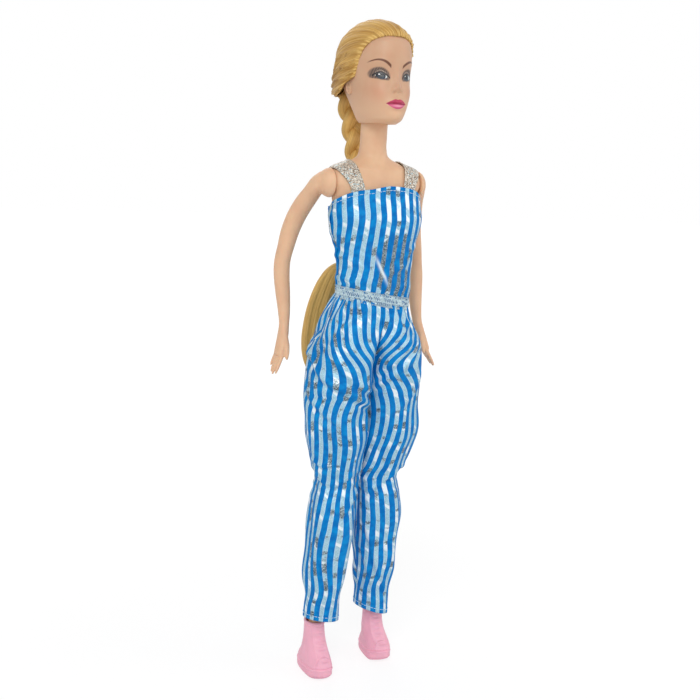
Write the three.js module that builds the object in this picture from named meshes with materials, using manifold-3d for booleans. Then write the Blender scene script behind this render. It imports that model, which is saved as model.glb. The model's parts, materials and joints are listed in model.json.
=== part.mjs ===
// A fashion doll of the 11.5 inch class in a striped jumpsuit, in millimetres, +Z up, facing -Y.
// Its right side is at -X. It stands on its shoe soles at z = 0.
import * as THREE from 'three';
import { mergeVertices } from 'three/addons/utils/BufferGeometryUtils.js';
import Module from 'manifold-3d';

const wasm = await Module();
wasm.setup();

// The doll's height over its hair, and the height at which all the sizes below are drawn
const height = 293.4;
const drawnHeight = 293.4;

// Walls and clearances
const gap = 0.3; // between pieces that sit on each other
const swingGap = 0.5; // between a limb and what it swings past
const skinWall = 1.3; // blown torso and vinyl head
const clothWall = 0.9; // jumpsuit cloth with its lining
const overlap = 1; // how far a cutting or joining solid reaches past a face
const wide = 60; // past the body on every side
const tall = 6 * wide; // past the top of the head
const torsoSides = 22; // facets round the torso, and round what is cut to it

// The seam plane of the torso halves carries the shoulder and hip axes
const seamY = -1.2;
const standY = -4.95; // moves the whole doll so that its box is centred on y = 0

// Shoulder and arm
const shoulder = { x: 20.2, z: 225.4, capRadius: 6.3, capLength: 6.2 };
const shoulderPeg = { radius: 2.6, wall: 3.0, headRadius: 3.9, headLength: 1.3 };
const pegInner = shoulder.x - shoulderPeg.wall - gap - shoulderPeg.headLength; // inner end of its head
const armPath = [
  { z: 229.8, x: 22.8, y: -0.8, half: 1.2, front: 2.4, back: 2.4 },
  { z: 227.4, x: 23.4, y: -0.4, half: 3.0, front: 4.4, back: 4.4 },
  { z: 223, x: 24.4, y: 1.4, half: 4.1, front: 5.0, back: 5.0 },
  { z: 218, x: 26.0, y: 5.2, half: 4.3, front: 4.8, back: 4.6 },
  { z: 211, x: 28.5, y: 9.7, half: 4.1, front: 4.4, back: 4.2 },
  { z: 204, x: 30.4, y: 13.2, half: 3.9, front: 4.2, back: 4.0 },
  { z: 197, x: 31.9, y: 15.7, half: 3.7, front: 4.1, back: 3.9 },
  { z: 190, x: 33.2, y: 16.5, half: 3.5, front: 3.9, back: 3.7 },
  { z: 184, x: 33.6, y: 15.8, half: 3.5, front: 3.6, back: 3.5 },
  { z: 176, x: 33.4, y: 14.4, half: 3.2, front: 3.2, back: 3.2 },
  { z: 168, x: 33.3, y: 12.6, half: 2.6, front: 2.7, back: 2.7 },
  { z: 163, x: 33.6, y: 11.4, half: 2.2, front: 2.4, back: 2.4 },
  { z: 159, x: 34.3, y: 10.5, half: 2.3, front: 3.0, back: 3.0 },
  { z: 154, x: 35.7, y: 9.4, half: 2.1, front: 3.6, back: 3.4 },
  { z: 149, x: 37.5, y: 8.4, half: 1.6, front: 3.4, back: 3.2 },
  { z: 144.5, x: 39.4, y: 7.4, half: 1.2, front: 2.6, back: 2.4 },
  { z: 142.4, x: 40.3, y: 6.9, half: 0.6, front: 1.4, back: 1.3 },
];
const thumbPath = [
  { z: 158.5, x: 34.0, y: 9.0, half: 1.3, front: 1.5, back: 1.5 },
  { z: 154, x: 33.9, y: 6.8, half: 1.25, front: 1.4, back: 1.4 },
  { z: 150.5, x: 34.2, y: 5.5, half: 1.1, front: 1.2, back: 1.2 },
  { z: 148.3, x: 34.5, y: 4.9, half: 0.6, front: 0.7, back: 0.7 },
];

// Hip and leg
const hip = { z: 152, wedgeHalf: 3.4, wedgeWall: 1.1, skinRadius: 15.6, skinOuter: 24.4 };
const hipEase = 1.0; // between a thigh and its trouser cloth
const clothHip = { radius: hip.skinRadius + hipEase + clothWall, outer: hip.skinOuter + hipEase + 0.6 };
const crotchRoom = 2.6; // what the leg's cloth keeps clear of at the crotch, past the hip cloth
const hipPeg = { radius: 3.0, headRadius: 4.6, headStart: 0.45, headLength: 1.3 };
const legPath = [
  { z: 34, x: 13.9, y: 6.2, half: 3.2, front: 3.3, back: 3.4 },
  { z: 44, x: 13.3, y: 4.6, half: 4.4, front: 4.2, back: 4.2 },
  { z: 58, x: 12.1, y: 3.2, half: 5.9, front: 5.3, back: 6.2 },
  { z: 68, x: 11.4, y: 2.4, half: 6.4, front: 5.7, back: 7.2 },
  { z: 80, x: 10.5, y: 1.2, half: 6.2, front: 6.0, back: 6.4 },
  { z: 92, x: 9.4, y: 0.2, half: 6.2, front: 6.6, back: 6.0 },
  { z: 104, x: 10.6, y: -0.4, half: 7.7, front: 7.8, back: 7.8 },
  { z: 120, x: 12.2, y: -1.0, half: 9.8, front: 10.0, back: 10.2 },
  { z: 136, x: 13.0, y: -1.2, half: 11.0, front: hip.skinRadius - 3.8, back: hip.skinRadius - 3.0 },
  { z: 148, x: 13.4, y: -1.2, half: 10.4, front: hip.skinRadius - 3.0, back: hip.skinRadius - 2.2 },
];
// The ankle and the arched foot, from the ankle's centre, which ends in the toes
const footPath = [
  { z: 3.0, x: 0, y: -8.6, half: 1.9, front: 1.2, back: 1.6 },
  { z: 4.6, x: 0, y: -7.8, half: 2.4, front: 2.0, back: 2.4 },
  { z: 9, x: 0, y: -5.8, half: 2.8, front: 2.6, back: 3.0 },
  { z: 14, x: 0, y: -3.4, half: 3.0, front: 2.8, back: 3.2 },
  { z: 20, x: 0, y: -0.8, half: 3.1, front: 2.9, back: 3.1 },
  { z: 27, x: 0, y: 0, half: 3.1, front: 3.1, back: 3.2 },
];
// Each foot stands where its leg puts it, the left one a step out and back
const feet = {
  right: { x: -14, y: 6.5, toeIn: 3 },
  left: { x: 17.3, y: 10.4, toeIn: 3 },
};

// Shoe, from the ankle's centre
const shoePath = [
  { z: 0, x: 0, y: -3.4, half: 5.5, front: 9.2, back: 13.4, power: 2.5 },
  { z: 1.2, x: 0, y: -3.4, half: 6.0, front: 9.9, back: 14.2, power: 2.5 },
  { z: 4.4, x: 0, y: -3.4, half: 6.2, front: 10.2, back: 14.6, power: 2.4 },
  { z: 7.0, x: 0, y: -3.2, half: 6.0, front: 9.7, back: 13.6, power: 2.3 },
  { z: 9.4, x: 0, y: -2.6, half: 5.7, front: 8.9, back: 11.4, power: 2.2 },
  { z: 13, x: 0, y: -1.2, half: 5.3, front: 7.6, back: 8.4, power: 2.1 },
  { z: 18, x: 0, y: 0.2, half: 4.9, front: 6.3, back: 6.0, power: 2 },
  { z: 24.8, x: 0, y: 0.9, half: 4.7, front: 5.2, back: 5.6, power: 2 },
];
const pullOff = new THREE.Vector3(0, -0.4, -1).normalize(); // the way a shoe leaves its foot
const footClearance = 0.35;

// Torso skin, from the hips to the neck
const torsoPath = [
  { z: 158, x: 0, y: -1.4, half: 20.5, front: 14.0, back: 13.4, power: 2.2 },
  { z: 165, x: 0, y: -2.4, half: 17.6, front: 11.6, back: 11.8, power: 2.2 },
  { z: 171, x: 0, y: -3.8, half: 14.9, front: 9.3, back: 9.4, power: 2.1 },
  { z: 177, x: 0, y: -4.8, half: 13.5, front: 8.2, back: 7.8, power: 2.1 },
  { z: 184, x: 0, y: -4.8, half: 13.2, front: 8.0, back: 7.2, power: 2.1 },
  { z: 192, x: 0, y: -4.2, half: 14.6, front: 8.8, back: 7.0, power: 2.1 },
  { z: 199, x: 0, y: -3.4, half: 16.2, front: 10.2, back: 7.2, power: 2.1 },
  { z: 206, x: 0, y: -2.8, half: 17.6, front: 12.1, back: 7.6, power: 2.1 },
  { z: 211, x: 0, y: -2.5, half: 18.1, front: 12.6, back: 8.0, power: 2.1 },
  { z: 216, x: 0, y: -2.2, half: 17.8, front: 11.3, back: 8.2, power: 2.2 },
  { z: 220.5, x: 0, y: -2.0, half: 18.0, front: 10.0, back: 8.2, power: 2.3 },
  { z: 223, x: 0, y: -1.8, half: 18.9, front: 9.5, back: 8.1, power: 2.5 },
  { z: 225.5, x: 0, y: -1.6, half: 21.2, front: 8.8, back: 8.0, power: 3 },
  { z: 229, x: 0, y: -1.2, half: 20.9, front: 7.8, back: 7.6, power: 3 },
  { z: 231.6, x: 0, y: -0.8, half: 17.4, front: 7.0, back: 7.2, power: 2.6 },
  { z: 234, x: 0, y: 0, half: 11.8, front: 6.2, back: 6.6, power: 2.2 },
  { z: 236.5, x: 0, y: 0.8, half: 7.6, front: 5.6, back: 5.9, power: 2 },
  { z: 240, x: 0, y: 1.1, half: 5.7, front: 5.2, back: 5.4, power: 2 },
  { z: 245, x: 0, y: 1.2, half: 5.1, front: 5.0, back: 5.1, power: 2 },
  { z: 250.4, x: 0, y: 1.2, half: 5.0, front: 5.0, back: 5.0, power: 2 },
];
const neck = { y: 1.2, top: 250.4, waistRadius: 4.6, boreWall: 1.0, boreDepth: 15.4 };
const neckKnob = { radius: 6.2, top: neck.top + 7, bottom: neck.top - 10.4 };

// Head and hair
const headPath = [
  { z: neck.top + gap, x: 0, y: 0, half: 6.9, front: 11.5, back: 7.6 },
  { z: 252, x: 0, y: 0, half: 7.9, front: 14.2, back: 8.4 },
  { z: 254, x: 0, y: 0, half: 8.9, front: 15.4, back: 9.6 },
  { z: 258, x: 0, y: 0, half: 10.3, front: 15.7, back: 12.4 },
  { z: 263, x: 0, y: 0, half: 11.5, front: 15.2, back: 17.6 },
  { z: 268, x: 0, y: 1, half: 12.1, front: 15.4, back: 22.0 },
  { z: 274, x: 0, y: 2, half: 12.3, front: 17.0, back: 22.4 },
  { z: 280, x: 0, y: 3, half: 12.3, front: 18.2, back: 18.4 },
  { z: 285, x: 0, y: 3, half: 11.3, front: 16.6, back: 14.6 },
  { z: 288.6, x: 0, y: 3, half: 8.6, front: 12.4, back: 10.0 },
  { z: 290.8, x: 0, y: 3, half: 4.4, front: 6.2, back: 5.2 },
];
const headFacets = { sides: 34, step: 2.4 };
const headHollow = { wall: 1.9, top: 288 };
const ear = { x: 11.6, y: 3.2, z: 265.2, half: 1.0, depth: 1.5, height: 2.6, tilt: -0.25 };
const hairPath = [
  { z: 256.8, x: 0, y: 8, half: 9.8, front: 12, back: 16.6 },
  { z: 259.5, x: 0, y: 8, half: 11.9, front: 14, back: 18.4 },
  { z: 263, x: 0, y: 8, half: 13.2, front: 18, back: 19.4 },
  { z: 268, x: 0, y: 7, half: 13.9, front: 22.2, back: 20.4 },
  { z: 274, x: 0, y: 6, half: 14.2, front: 22.2, back: 20.6 },
  { z: 280, x: 0, y: 5, half: 14.3, front: 22.0, back: 19.2 },
  { z: 285, x: 0, y: 4, half: 13.4, front: 19.6, back: 16.4 },
  { z: 289.4, x: 0, y: 3.4, half: 10.4, front: 15.2, back: 11.8 },
  { z: 292.2, x: 0, y: 3.4, half: 6.2, front: 9.4, back: 7.2 },
  { z: 293.4, x: 0, y: 3.4, half: 2.4, front: 3.8, back: 2.8 },
];
// The hairline in side view, from ahead of the forehead's centre to behind the ear, as y and z
const hairline = [
  [-20, 287.4],
  [-14.6, 286.6],
  [-11.4, 283.4],
  [-9.0, 280],
  [-6.4, 276],
  [-2.8, 270.6],
  [2.8, 267.2],
  [5.4, 262.6],
  [7.4, 258.6],
  [8.6, 255],
];
const braidPath = [
  { z: 193.6, x: -3.2, y: 11.2, half: 3.7, front: 3.3, back: 3.3 },
  { z: 198, x: -3.0, y: 12.3, half: 4.3, front: 3.9, back: 3.8 },
  { z: 208, x: -2.2, y: 13.7, half: 4.4, front: 4.2, back: 4.1 },
  { z: 222, x: -1.4, y: 14.4, half: 4.5, front: 4.4, back: 4.3 },
  { z: 236, x: -1.3, y: 15.6, half: 4.6, front: 4.5, back: 4.4 },
  { z: 246, x: -2.0, y: 17.4, half: 5.2, front: 4.7, back: 4.6 },
  { z: 256.4, x: -1.8, y: 20.2, half: 6.6, front: 5.0, back: 4.6 },
];
const braidBulge = { pitch: 10.5, depth: 0.8 }; // each crossing of the strands swells the outline
const tie = { z: 190.2, height: 2.9, inner: 2.9, outer: 4.3, x: -3.2, y: 11.2, coreRadius: 2.6 };
const tailPath = [
  { z: 128.6, x: -3.4, y: 24.2, half: 1.6, front: 0.9, back: 0.9 },
  { z: 132, x: -3.6, y: 24.4, half: 5.6, front: 2.0, back: 2.2 },
  { z: 138, x: -4.0, y: 24.6, half: 10.2, front: 3.0, back: 3.2 },
  { z: 145, x: -4.3, y: 24.6, half: 13.2, front: 3.5, back: 3.8 },
  { z: 153, x: -4.4, y: 24.2, half: 14.3, front: 3.7, back: 4.2 },
  { z: 161, x: -4.4, y: 23.0, half: 14.0, front: 3.7, back: 4.2 },
  { z: 169, x: -4.3, y: 20.4, half: 12.8, front: 3.6, back: 4.2 },
  { z: 177, x: -4.1, y: 17.0, half: 10.4, front: 3.5, back: 4.2 },
  { z: 184, x: -3.7, y: 13.6, half: 6.6, front: 3.4, back: 3.8 },
  { z: 189.6, x: -3.2, y: 11.2, half: 3.4, front: 3.0, back: 3.0 },
];

// Jumpsuit
const waist = { bottom: 173.7, top: 179.9, wall: 1.3, ribs: 20, ribDepth: 0.25 };
const waistOval = { x: 0, y: -5.2, half: 17.6, front: 9.9, back: 11.2, power: 2.1 };
const bodicePath = [
  { z: waist.top + gap, x: 0, y: -5.2, half: 17.0, front: 9.6, back: 10.4, power: 2.1 },
  { z: 186, x: 0, y: -5.0, half: 17.5, front: 9.9, back: 10.3, power: 2.1 },
  { z: 192, x: 0, y: -4.6, half: 18.2, front: 10.6, back: 10.2, power: 2.1 },
  { z: 199, x: 0, y: -3.8, half: 18.8, front: 11.9, back: 10.4, power: 2.1 },
  { z: 206, x: 0, y: -3.0, half: 19.5, front: 13.5, back: 10.6, power: 2.1 },
  { z: 211, x: 0, y: -2.6, half: 19.9, front: 14.0, back: 10.9, power: 2.1 },
  { z: 216, x: 0, y: -2.4, half: 20.0, front: 12.8, back: 11.2, power: 2.1 },
  { z: 221, x: 0, y: -2.1, half: 19.9, front: 11.4, back: 11.0, power: 2.4 },
  { z: 228, x: 0, y: -2.0, half: 19.9, front: 10.4, back: 10.8, power: 2.6 },
];
const neckline = { frontZ: 225.3, frontY: -13, slope: 0.45 }; // falls towards the back
const closure = { halfWidth: 3.6, bottom: 184, top: 212, thickness: 0.4 };
const strap = { inner: 10.2, outer: 18.2, thickness: 0.8, lowest: 210 };
const hipReach = clothHip.radius;
const seatPath = [
  { z: 150, x: 0, y: seamY, half: 26, front: hipReach, back: hipReach, power: 2.3 },
  { z: 157, x: 0, y: seamY, half: 25.4, front: hipReach, back: hipReach - 0.3, power: 2.3 },
  { z: 163, x: 0, y: -1.8, half: 23.0, front: hipReach - 1.3, back: hipReach - 1.9, power: 2.2 },
  { z: 168, x: 0, y: -3.0, half: 20.4, front: hipReach - 3.7, back: hipReach - 4.3, power: 2.1 },
  { z: waist.bottom - gap, x: 0, y: -4.8, half: 17.5, front: 10.2, back: 10.8, power: 2.1 },
];
const seatEdge = { frontY: -19, frontZ: 167.5, backY: 17, backZ: 160 }; // lower edge beside the gore
const pleats = { count: 14, depth: 0.35, from: 158, to: 170 }; // gathers of the seat under the elastic
const trouserPath = [
  { z: 26, x: 13.4, y: 4.8, half: 7.7, front: 7.9, back: 8.5 },
  { z: 31, x: 13.3, y: 4.5, half: 7.4, front: 7.7, back: 8.7 },
  { z: 37, x: 13.2, y: 3.9, half: 7.6, front: 8.0, back: 9.3 },
  { z: 48, x: 12.9, y: 3.0, half: 9.3, front: 9.6, back: 10.5 },
  { z: 60, x: 11.9, y: 2.2, half: 10.3, front: 10.6, back: 11.1 },
  { z: 75, x: 11.2, y: 1.4, half: 10.7, front: 11.0, back: 11.0 },
  { z: 86, x: 10.4, y: 0.9, half: 10.0, front: 10.4, back: 10.3 },
  { z: 94, x: 9.5, y: 0.5, half: 8.7, front: 8.9, back: 9.0 },
  { z: 100, x: 10.2, y: -0.2, half: 10.1, front: 10.6, back: 10.6 },
  { z: 107, x: 11.6, y: -0.6, half: 12.0, front: 12.6, back: 12.8 },
  { z: 116, x: 12.6, y: -1.0, half: 13.1, front: 14.0, back: 14.6 },
  { z: 130, x: 13.0, y: -1.2, half: 13.1, front: hipReach - 2.9, back: hipReach - 1.9 },
  { z: 140, x: 13.2, y: seamY, half: 12.8, front: hipReach - 3.3, back: hipReach - 2.1 },
  { z: 150, x: 13.4, y: seamY, half: 12.2, front: hipReach - 3.5, back: hipReach - 2.7 },
];
const trouserAnkle = { x: 14.2, y: 7.4 }; // the ankle that the rows above are drawn for
// Drape folds round a trouser leg, and the heights over which they rise and fade
const folds = { count: 6, depth: 0.55, twist: 0.05, rise: [26, 50], fade: [125, 145] };

// Colours
const skin = { color: 0xe0b393, roughness: 0.55 };
const blonde = { color: 0xd9ae5f, roughness: 0.6 };
const stripedCloth = { color: 0x2f8fdc, roughness: 0.5 };
const silver = { color: 0xc9ced2, roughness: 0.4, metalness: 0.5 };
const pinkVinyl = { color: 0xf2aac2, roughness: 0.45 };
const whitePlastic = { color: 0xf0ece6, roughness: 0.5 };

const right = -1;
const left = 1;
const sideName = { [right]: 'right', [left]: 'left' };

// Value of one field at height z, on a smooth curve through the keys
function smoothAt(keys, field, z) {
  const value = (i) => keys[i][field] ?? 2;
  const slope = (i) => (value(i + 1) - value(i)) / (keys[i + 1].z - keys[i].z);
  const last = keys.length - 1;
  let i = 0;
  while (i < last - 1 && z > keys[i + 1].z) {
    i += 1;
  }
  const startSlope = i > 0 ? (slope(i - 1) + slope(i)) / 2 : slope(i);
  const endSlope = i < last - 1 ? (slope(i) + slope(i + 1)) / 2 : slope(i);
  const span = keys[i + 1].z - keys[i].z;
  const t = THREE.MathUtils.clamp((z - keys[i].z) / span, 0, 1);
  const t2 = t * t;
  const t3 = t2 * t;
  return value(i) * (2 * t3 - 3 * t2 + 1) + value(i + 1) * (3 * t2 - 2 * t3)
    + span * (startSlope * (t3 - 2 * t2 + t) + endSlope * (t3 - t2));
}

function sectionAt(keys, z) {
  const section = { z };
  for (const field of ['x', 'y', 'half', 'front', 'back', 'power']) {
    section[field] = smoothAt(keys, field, z);
  }
  return section;
}

// One closed outline of a section, level, seen from above anticlockwise; relief adds to its reach
function ovalRing(section, sides, grow = 0, relief = () => 0) {
  const points = [];
  for (let i = 0; i < sides; i += 1) {
    const angle = (2 * Math.PI * i) / sides;
    const c = Math.cos(angle);
    const s = Math.sin(angle);
    const bend = 2 / section.power;
    const depth = s < 0 ? section.front : section.back;
    const reach = grow + relief(angle, section.z);
    points.push(new THREE.Vector3(
      section.x + (section.half + reach) * Math.sign(c) * Math.abs(c) ** bend,
      section.y + (depth + reach) * Math.sign(s) * Math.abs(s) ** bend,
      section.z,
    ));
  }
  return points;
}

// A closed skin through rings of as many points each, with a flat fan on each end
function loft(rings) {
  const sides = rings[0].length;
  const positions = rings.flat();
  const index = [];
  for (let r = 0; r < rings.length - 1; r += 1) {
    for (let i = 0; i < sides; i += 1) {
      const j = (i + 1) % sides;
      const low = r * sides;
      const high = low + sides;
      index.push(low + i, low + j, high + j, low + i, high + j, high + i);
    }
  }
  const middle = (ring) => ring.reduce((sum, p) => sum.add(p), new THREE.Vector3()).divideScalar(sides);
  const top = (rings.length - 1) * sides;
  positions.push(middle(rings[0]), middle(rings[rings.length - 1]));
  for (let i = 0; i < sides; i += 1) {
    const j = (i + 1) % sides;
    index.push(positions.length - 2, j, i);
    index.push(positions.length - 1, top + i, top + j);
  }
  const geometry = new THREE.BufferGeometry().setFromPoints(positions);
  geometry.setIndex(index);
  return geometry;
}

// Heights at which a loft is sampled: its keys, or about every step from one height to another
function heightsOf(keys, step, from, to) {
  if (!step) {
    return keys.map((key) => key.z);
  }
  const start = from ?? keys[0].z;
  const end = to ?? keys[keys.length - 1].z;
  const count = Math.max(2, Math.round((end - start) / step));
  return Array.from({ length: count + 1 }, (_, i) => start + ((end - start) * i) / count);
}

function loftKeys(keys, { sides = 24, step, grow = 0, relief, from, to, rise = 0 } = {}) {
  const rings = heightsOf(keys, step, from, to).map((z) => {
    const ring = ovalRing(sectionAt(keys, z), sides, grow, relief);
    return ring.map((point) => point.setZ(point.z + rise));
  });
  return loft(rings);
}

function signedVolume(geometry) {
  const p = geometry.attributes.position;
  const index = geometry.index;
  const a = new THREE.Vector3();
  const b = new THREE.Vector3();
  const c = new THREE.Vector3();
  let sum = 0;
  for (let i = 0; i < index.count; i += 3) {
    a.fromBufferAttribute(p, index.getX(i));
    b.fromBufferAttribute(p, index.getX(i + 1));
    c.fromBufferAttribute(p, index.getX(i + 2));
    sum += a.dot(b.cross(c));
  }
  return sum / 6;
}

// Positions only, with shared vertices, no collapsed triangles and the faces out
function closedGeometry(geometry) {
  const bare = new THREE.BufferGeometry();
  bare.setAttribute('position', geometry.attributes.position.clone());
  bare.setIndex(geometry.index);
  const merged = mergeVertices(bare);
  const kept = [];
  for (let i = 0; i < merged.index.count; i += 3) {
    const a = merged.index.getX(i);
    const b = merged.index.getX(i + 1);
    const c = merged.index.getX(i + 2);
    if (a !== b && b !== c && c !== a) {
      kept.push(a, b, c);
    }
  }
  merged.setIndex(kept);
  if (signedVolume(merged) < 0) {
    merged.setIndex(kept.reverse());
  }
  return merged;
}

function solid(geometry) {
  const closed = closedGeometry(geometry);
  return new wasm.Manifold(new wasm.Mesh({
    numProp: 3,
    vertProperties: new Float32Array(closed.attributes.position.array),
    triVerts: new Uint32Array(closed.index.array),
  }));
}

function geometryOf(body) {
  const mesh = body.getMesh();
  const geometry = new THREE.BufferGeometry();
  geometry.setAttribute('position', new THREE.BufferAttribute(new Float32Array(mesh.vertProperties), 3));
  geometry.setIndex(new THREE.BufferAttribute(new Uint32Array(mesh.triVerts), 1));
  geometry.computeVertexNormals();
  return geometry;
}

function block(lowX, highX, lowY, highY, lowZ, highZ) {
  const box = new THREE.BoxGeometry(highX - lowX, highY - lowY, highZ - lowZ);
  box.translate((lowX + highX) / 2, (lowY + highY) / 2, (lowZ + highZ) / 2);
  return solid(box);
}

// A turned solid about an axis along X, from a profile of distance along X and radius
function turnedX(profile, y, z, sides = 22) {
  const points = profile.map(([along, radius]) => new THREE.Vector2(radius, along));
  const geometry = new THREE.LatheGeometry(points, sides);
  geometry.rotateZ(-Math.PI / 2);
  geometry.translate(0, y, z);
  return solid(geometry);
}

function cylinderX(radius, low, high, y, z, sides = 22) {
  return turnedX([[low, 0], [low, radius], [high, radius], [high, 0]], y, z, sides);
}

// A turned solid about an upright axis, from a profile of radius and height
function turnedZ(profile, x, y, sides = 24) {
  const points = profile.map(([radius, height]) => new THREE.Vector2(radius, height));
  const geometry = new THREE.LatheGeometry(points, sides);
  geometry.rotateX(Math.PI / 2);
  geometry.translate(x, y, 0);
  return solid(geometry);
}

// A slab between two x places whose y and z outline is the given polygon
function slabX(outline, low, high) {
  const shape = new THREE.Shape(outline.map(([y, z]) => new THREE.Vector2(y, z)));
  const geometry = new THREE.ExtrudeGeometry(shape, { depth: high - low, bevelEnabled: false });
  const turn = new THREE.Matrix4().makeBasis(
    new THREE.Vector3(0, 1, 0),
    new THREE.Vector3(0, 0, 1),
    new THREE.Vector3(1, 0, 0),
  );
  geometry.applyMatrix4(turn);
  geometry.translate(low, 0, 0);
  const indexed = mergeVertices(geometry.deleteAttribute('normal').deleteAttribute('uv'));
  return solid(indexed);
}

// Profile of a hip dome: full radius near the middle, rounding to nothing at its outer end
function domeProfile(inner, outer, radius, shrink = 0) {
  const profile = [[inner, 0], [inner, radius - shrink]];
  const roundFrom = outer / 2;
  const steps = 5;
  const bulge = 2.5;
  for (let i = 0; i <= steps; i += 1) {
    const t = Math.sin((Math.PI / 2) * (i / steps));
    const along = roundFrom + (outer - shrink - roundFrom) * t;
    profile.push([along, (radius - shrink) * (1 - t ** bulge) ** (1 / bulge)]);
  }
  return profile;
}

// A block from the floor to past the head
function column(lowX, highX, lowY, highY) {
  return block(lowX, highX, lowY, highY, 0, tall);
}

const mirrored = (body, side) => (side === left ? body : body.mirror([1, 0, 0]));

function makeTorso() {
  const outer = solid(loftKeys(torsoPath, { sides: torsoSides }))
    .intersect(column(-shoulder.x, shoulder.x, -wide, wide));
  const wedge = cylinderX(hip.skinRadius - gap, -hip.wedgeHalf, hip.wedgeHalf, seamY, hip.z);
  const inside = solid(loftKeys(torsoPath, { sides: 12, step: 12, grow: -skinWall }))
    .intersect(column(shoulderPeg.wall - shoulder.x, shoulder.x - shoulderPeg.wall, -wide, wide));
  const bore = neck.waistRadius - neck.boreWall;
  const neckBore = turnedZ([
    [0, neck.top - neck.boreDepth],
    [bore, neck.top - neck.boreDepth],
    [bore, neck.top + overlap],
    [0, neck.top + overlap],
  ], 0, neck.y);
  const wedgeInner = hip.wedgeHalf - hip.wedgeWall;
  const wedgeInside = cylinderX(hip.skinRadius - gap - skinWall, -wedgeInner, wedgeInner, seamY, hip.z);
  const rooms = [left, right].map((side) => mirrored(legRoom(), side));
  const roomSkins = [left, right].map((side) => mirrored(legRoom(skinWall), side));
  const body = outer.subtract(rooms[0]).subtract(rooms[1]).add(wedge);
  const pegRoom = cylinderX(
    shoulderPeg.headRadius + swingGap,
    pegInner - swingGap,
    shoulder.x - shoulderPeg.wall,
    seamY, shoulder.z, 14,
  );
  const hollow = inside.subtract(roomSkins[0]).subtract(roomSkins[1]).add(wedgeInside).add(neckBore)
    .add(pegRoom).add(mirrored(pegRoom, right));
  const shoulderBore = cylinderX(shoulderPeg.radius + gap, -wide, wide, seamY, shoulder.z, 14);
  const boreEnd = hip.wedgeHalf + overlap;
  const hipBore = cylinderX(hipPeg.radius + gap, -boreEnd, boreEnd, seamY, hip.z, 16);
  const shell = body.subtract(hollow).subtract(shoulderBore).subtract(hipBore);
  return {
    front: shell.subtract(column(-wide, wide, seamY - gap / 2, wide)),
    back: shell.subtract(column(-wide, wide, -wide, seamY + gap / 2)),
  };
}

// The room that a dressed leg turns in, on the left side
function legRoom(wall = 0) {
  return cylinderX(clothHip.radius + swingGap + wall, hip.wedgeHalf - wall, wide, seamY, hip.z);
}

function makeNeckKnob() {
  const stem = neck.waistRadius - neck.boreWall - gap;
  const profile = [
    [0, neckKnob.bottom],
    [stem, neckKnob.bottom],
    [stem, neck.top + 0.1],
    [neck.waistRadius, neck.top + 0.1],
    [neck.waistRadius, neck.top + gap + 1.7],
    [neckKnob.radius, neck.top + 2.4],
    [neckKnob.radius, neck.top + 4.2],
    [neckKnob.radius - 1.4, neckKnob.top - 0.7],
    [neckKnob.radius - 3.4, neckKnob.top],
    [0, neckKnob.top],
  ];
  return turnedZ(profile, 0, neck.y, 16);
}

// How far the face stands out from the egg of the head: nose, lips, chin, brow and eye hollows
function faceRelief(angle, z) {
  const front = Math.atan2(Math.cos(angle), -Math.sin(angle)); // 0 straight ahead, + to its left
  const hill = (value, spread) => Math.exp(-((value / spread) ** 2));
  const bump = (height, z0, spreadZ, side, spreadSide) => (
    height * hill(z - z0, spreadZ) * hill(Math.abs(front) - side, spreadSide)
  );
  return bump(2.3, 264.8, 2.1, 0, 0.13) // nose tip
    + bump(1.1, 268.6, 3.4, 0, 0.1) // nose bridge
    + bump(0.75, 258.8, 1.7, 0, 0.25) // lips
    + bump(0.7, 253.2, 1.8, 0, 0.3) // chin
    - bump(1.0, 270.2, 2.6, 0.5, 0.2) // eye hollows
    + bump(0.45, 275.4, 1.8, 0.4, 0.3) // brow
    + bump(0.5, 264, 3.4, 0.75, 0.3); // cheeks
}

function makeHead() {
  const outer = solid(loftKeys(headPath, { ...headFacets, relief: faceRelief }));
  const floor = neck.top + gap + skinWall;
  const inside = solid(loftKeys(headPath, {
    sides: 14, step: 8, grow: -headHollow.wall, from: floor, to: headHollow.top,
  }));
  const rim = neck.waistRadius + gap;
  const opening = turnedZ([
    [0, neck.top], [rim, neck.top], [rim, floor + overlap], [0, floor + overlap],
  ], 0, neck.y);
  const knobRoom = turnedZ([
    [0, neck.top + 2],
    [neckKnob.radius + gap, neck.top + 2],
    [neckKnob.radius + gap, neckKnob.top + gap],
    [0, neckKnob.top + gap],
  ], 0, neck.y, 16);
  const ears = [left, right].map((side) => mirrored(makeEar(), side));
  return outer.add(ears[0]).add(ears[1]).subtract(inside).subtract(opening).subtract(knobRoom);
}

function makeEar(room = 0) {
  const shell = new THREE.SphereGeometry(1, 8, 6);
  shell.scale(ear.half + room, ear.depth + room, ear.height + room);
  shell.rotateX(ear.tilt);
  shell.translate(ear.x, ear.y, ear.z);
  return solid(closedGeometry(shell));
}

function makeHairCap() {
  const ridges = (angle, z) => 0.25 * Math.cos(13 * angle + 0.12 * z);
  const outer = solid(loftKeys(hairPath, { sides: 40, relief: ridges }));
  const skull = solid(loftKeys(headPath, { ...headFacets, relief: faceRelief, grow: 2 * gap, rise: gap }));
  const ears = [left, right].map((side) => mirrored(makeEar(gap), side));
  const [aheadY] = hairline[0];
  const [, napeZ] = hairline[hairline.length - 1];
  const behind = [...hairline, [wide, napeZ], [wide, tall], [aheadY, tall]];
  const cover = slabX(behind, -wide, wide);
  return outer.intersect(cover).subtract(skull).subtract(ears[0]).subtract(ears[1]);
}

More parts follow.
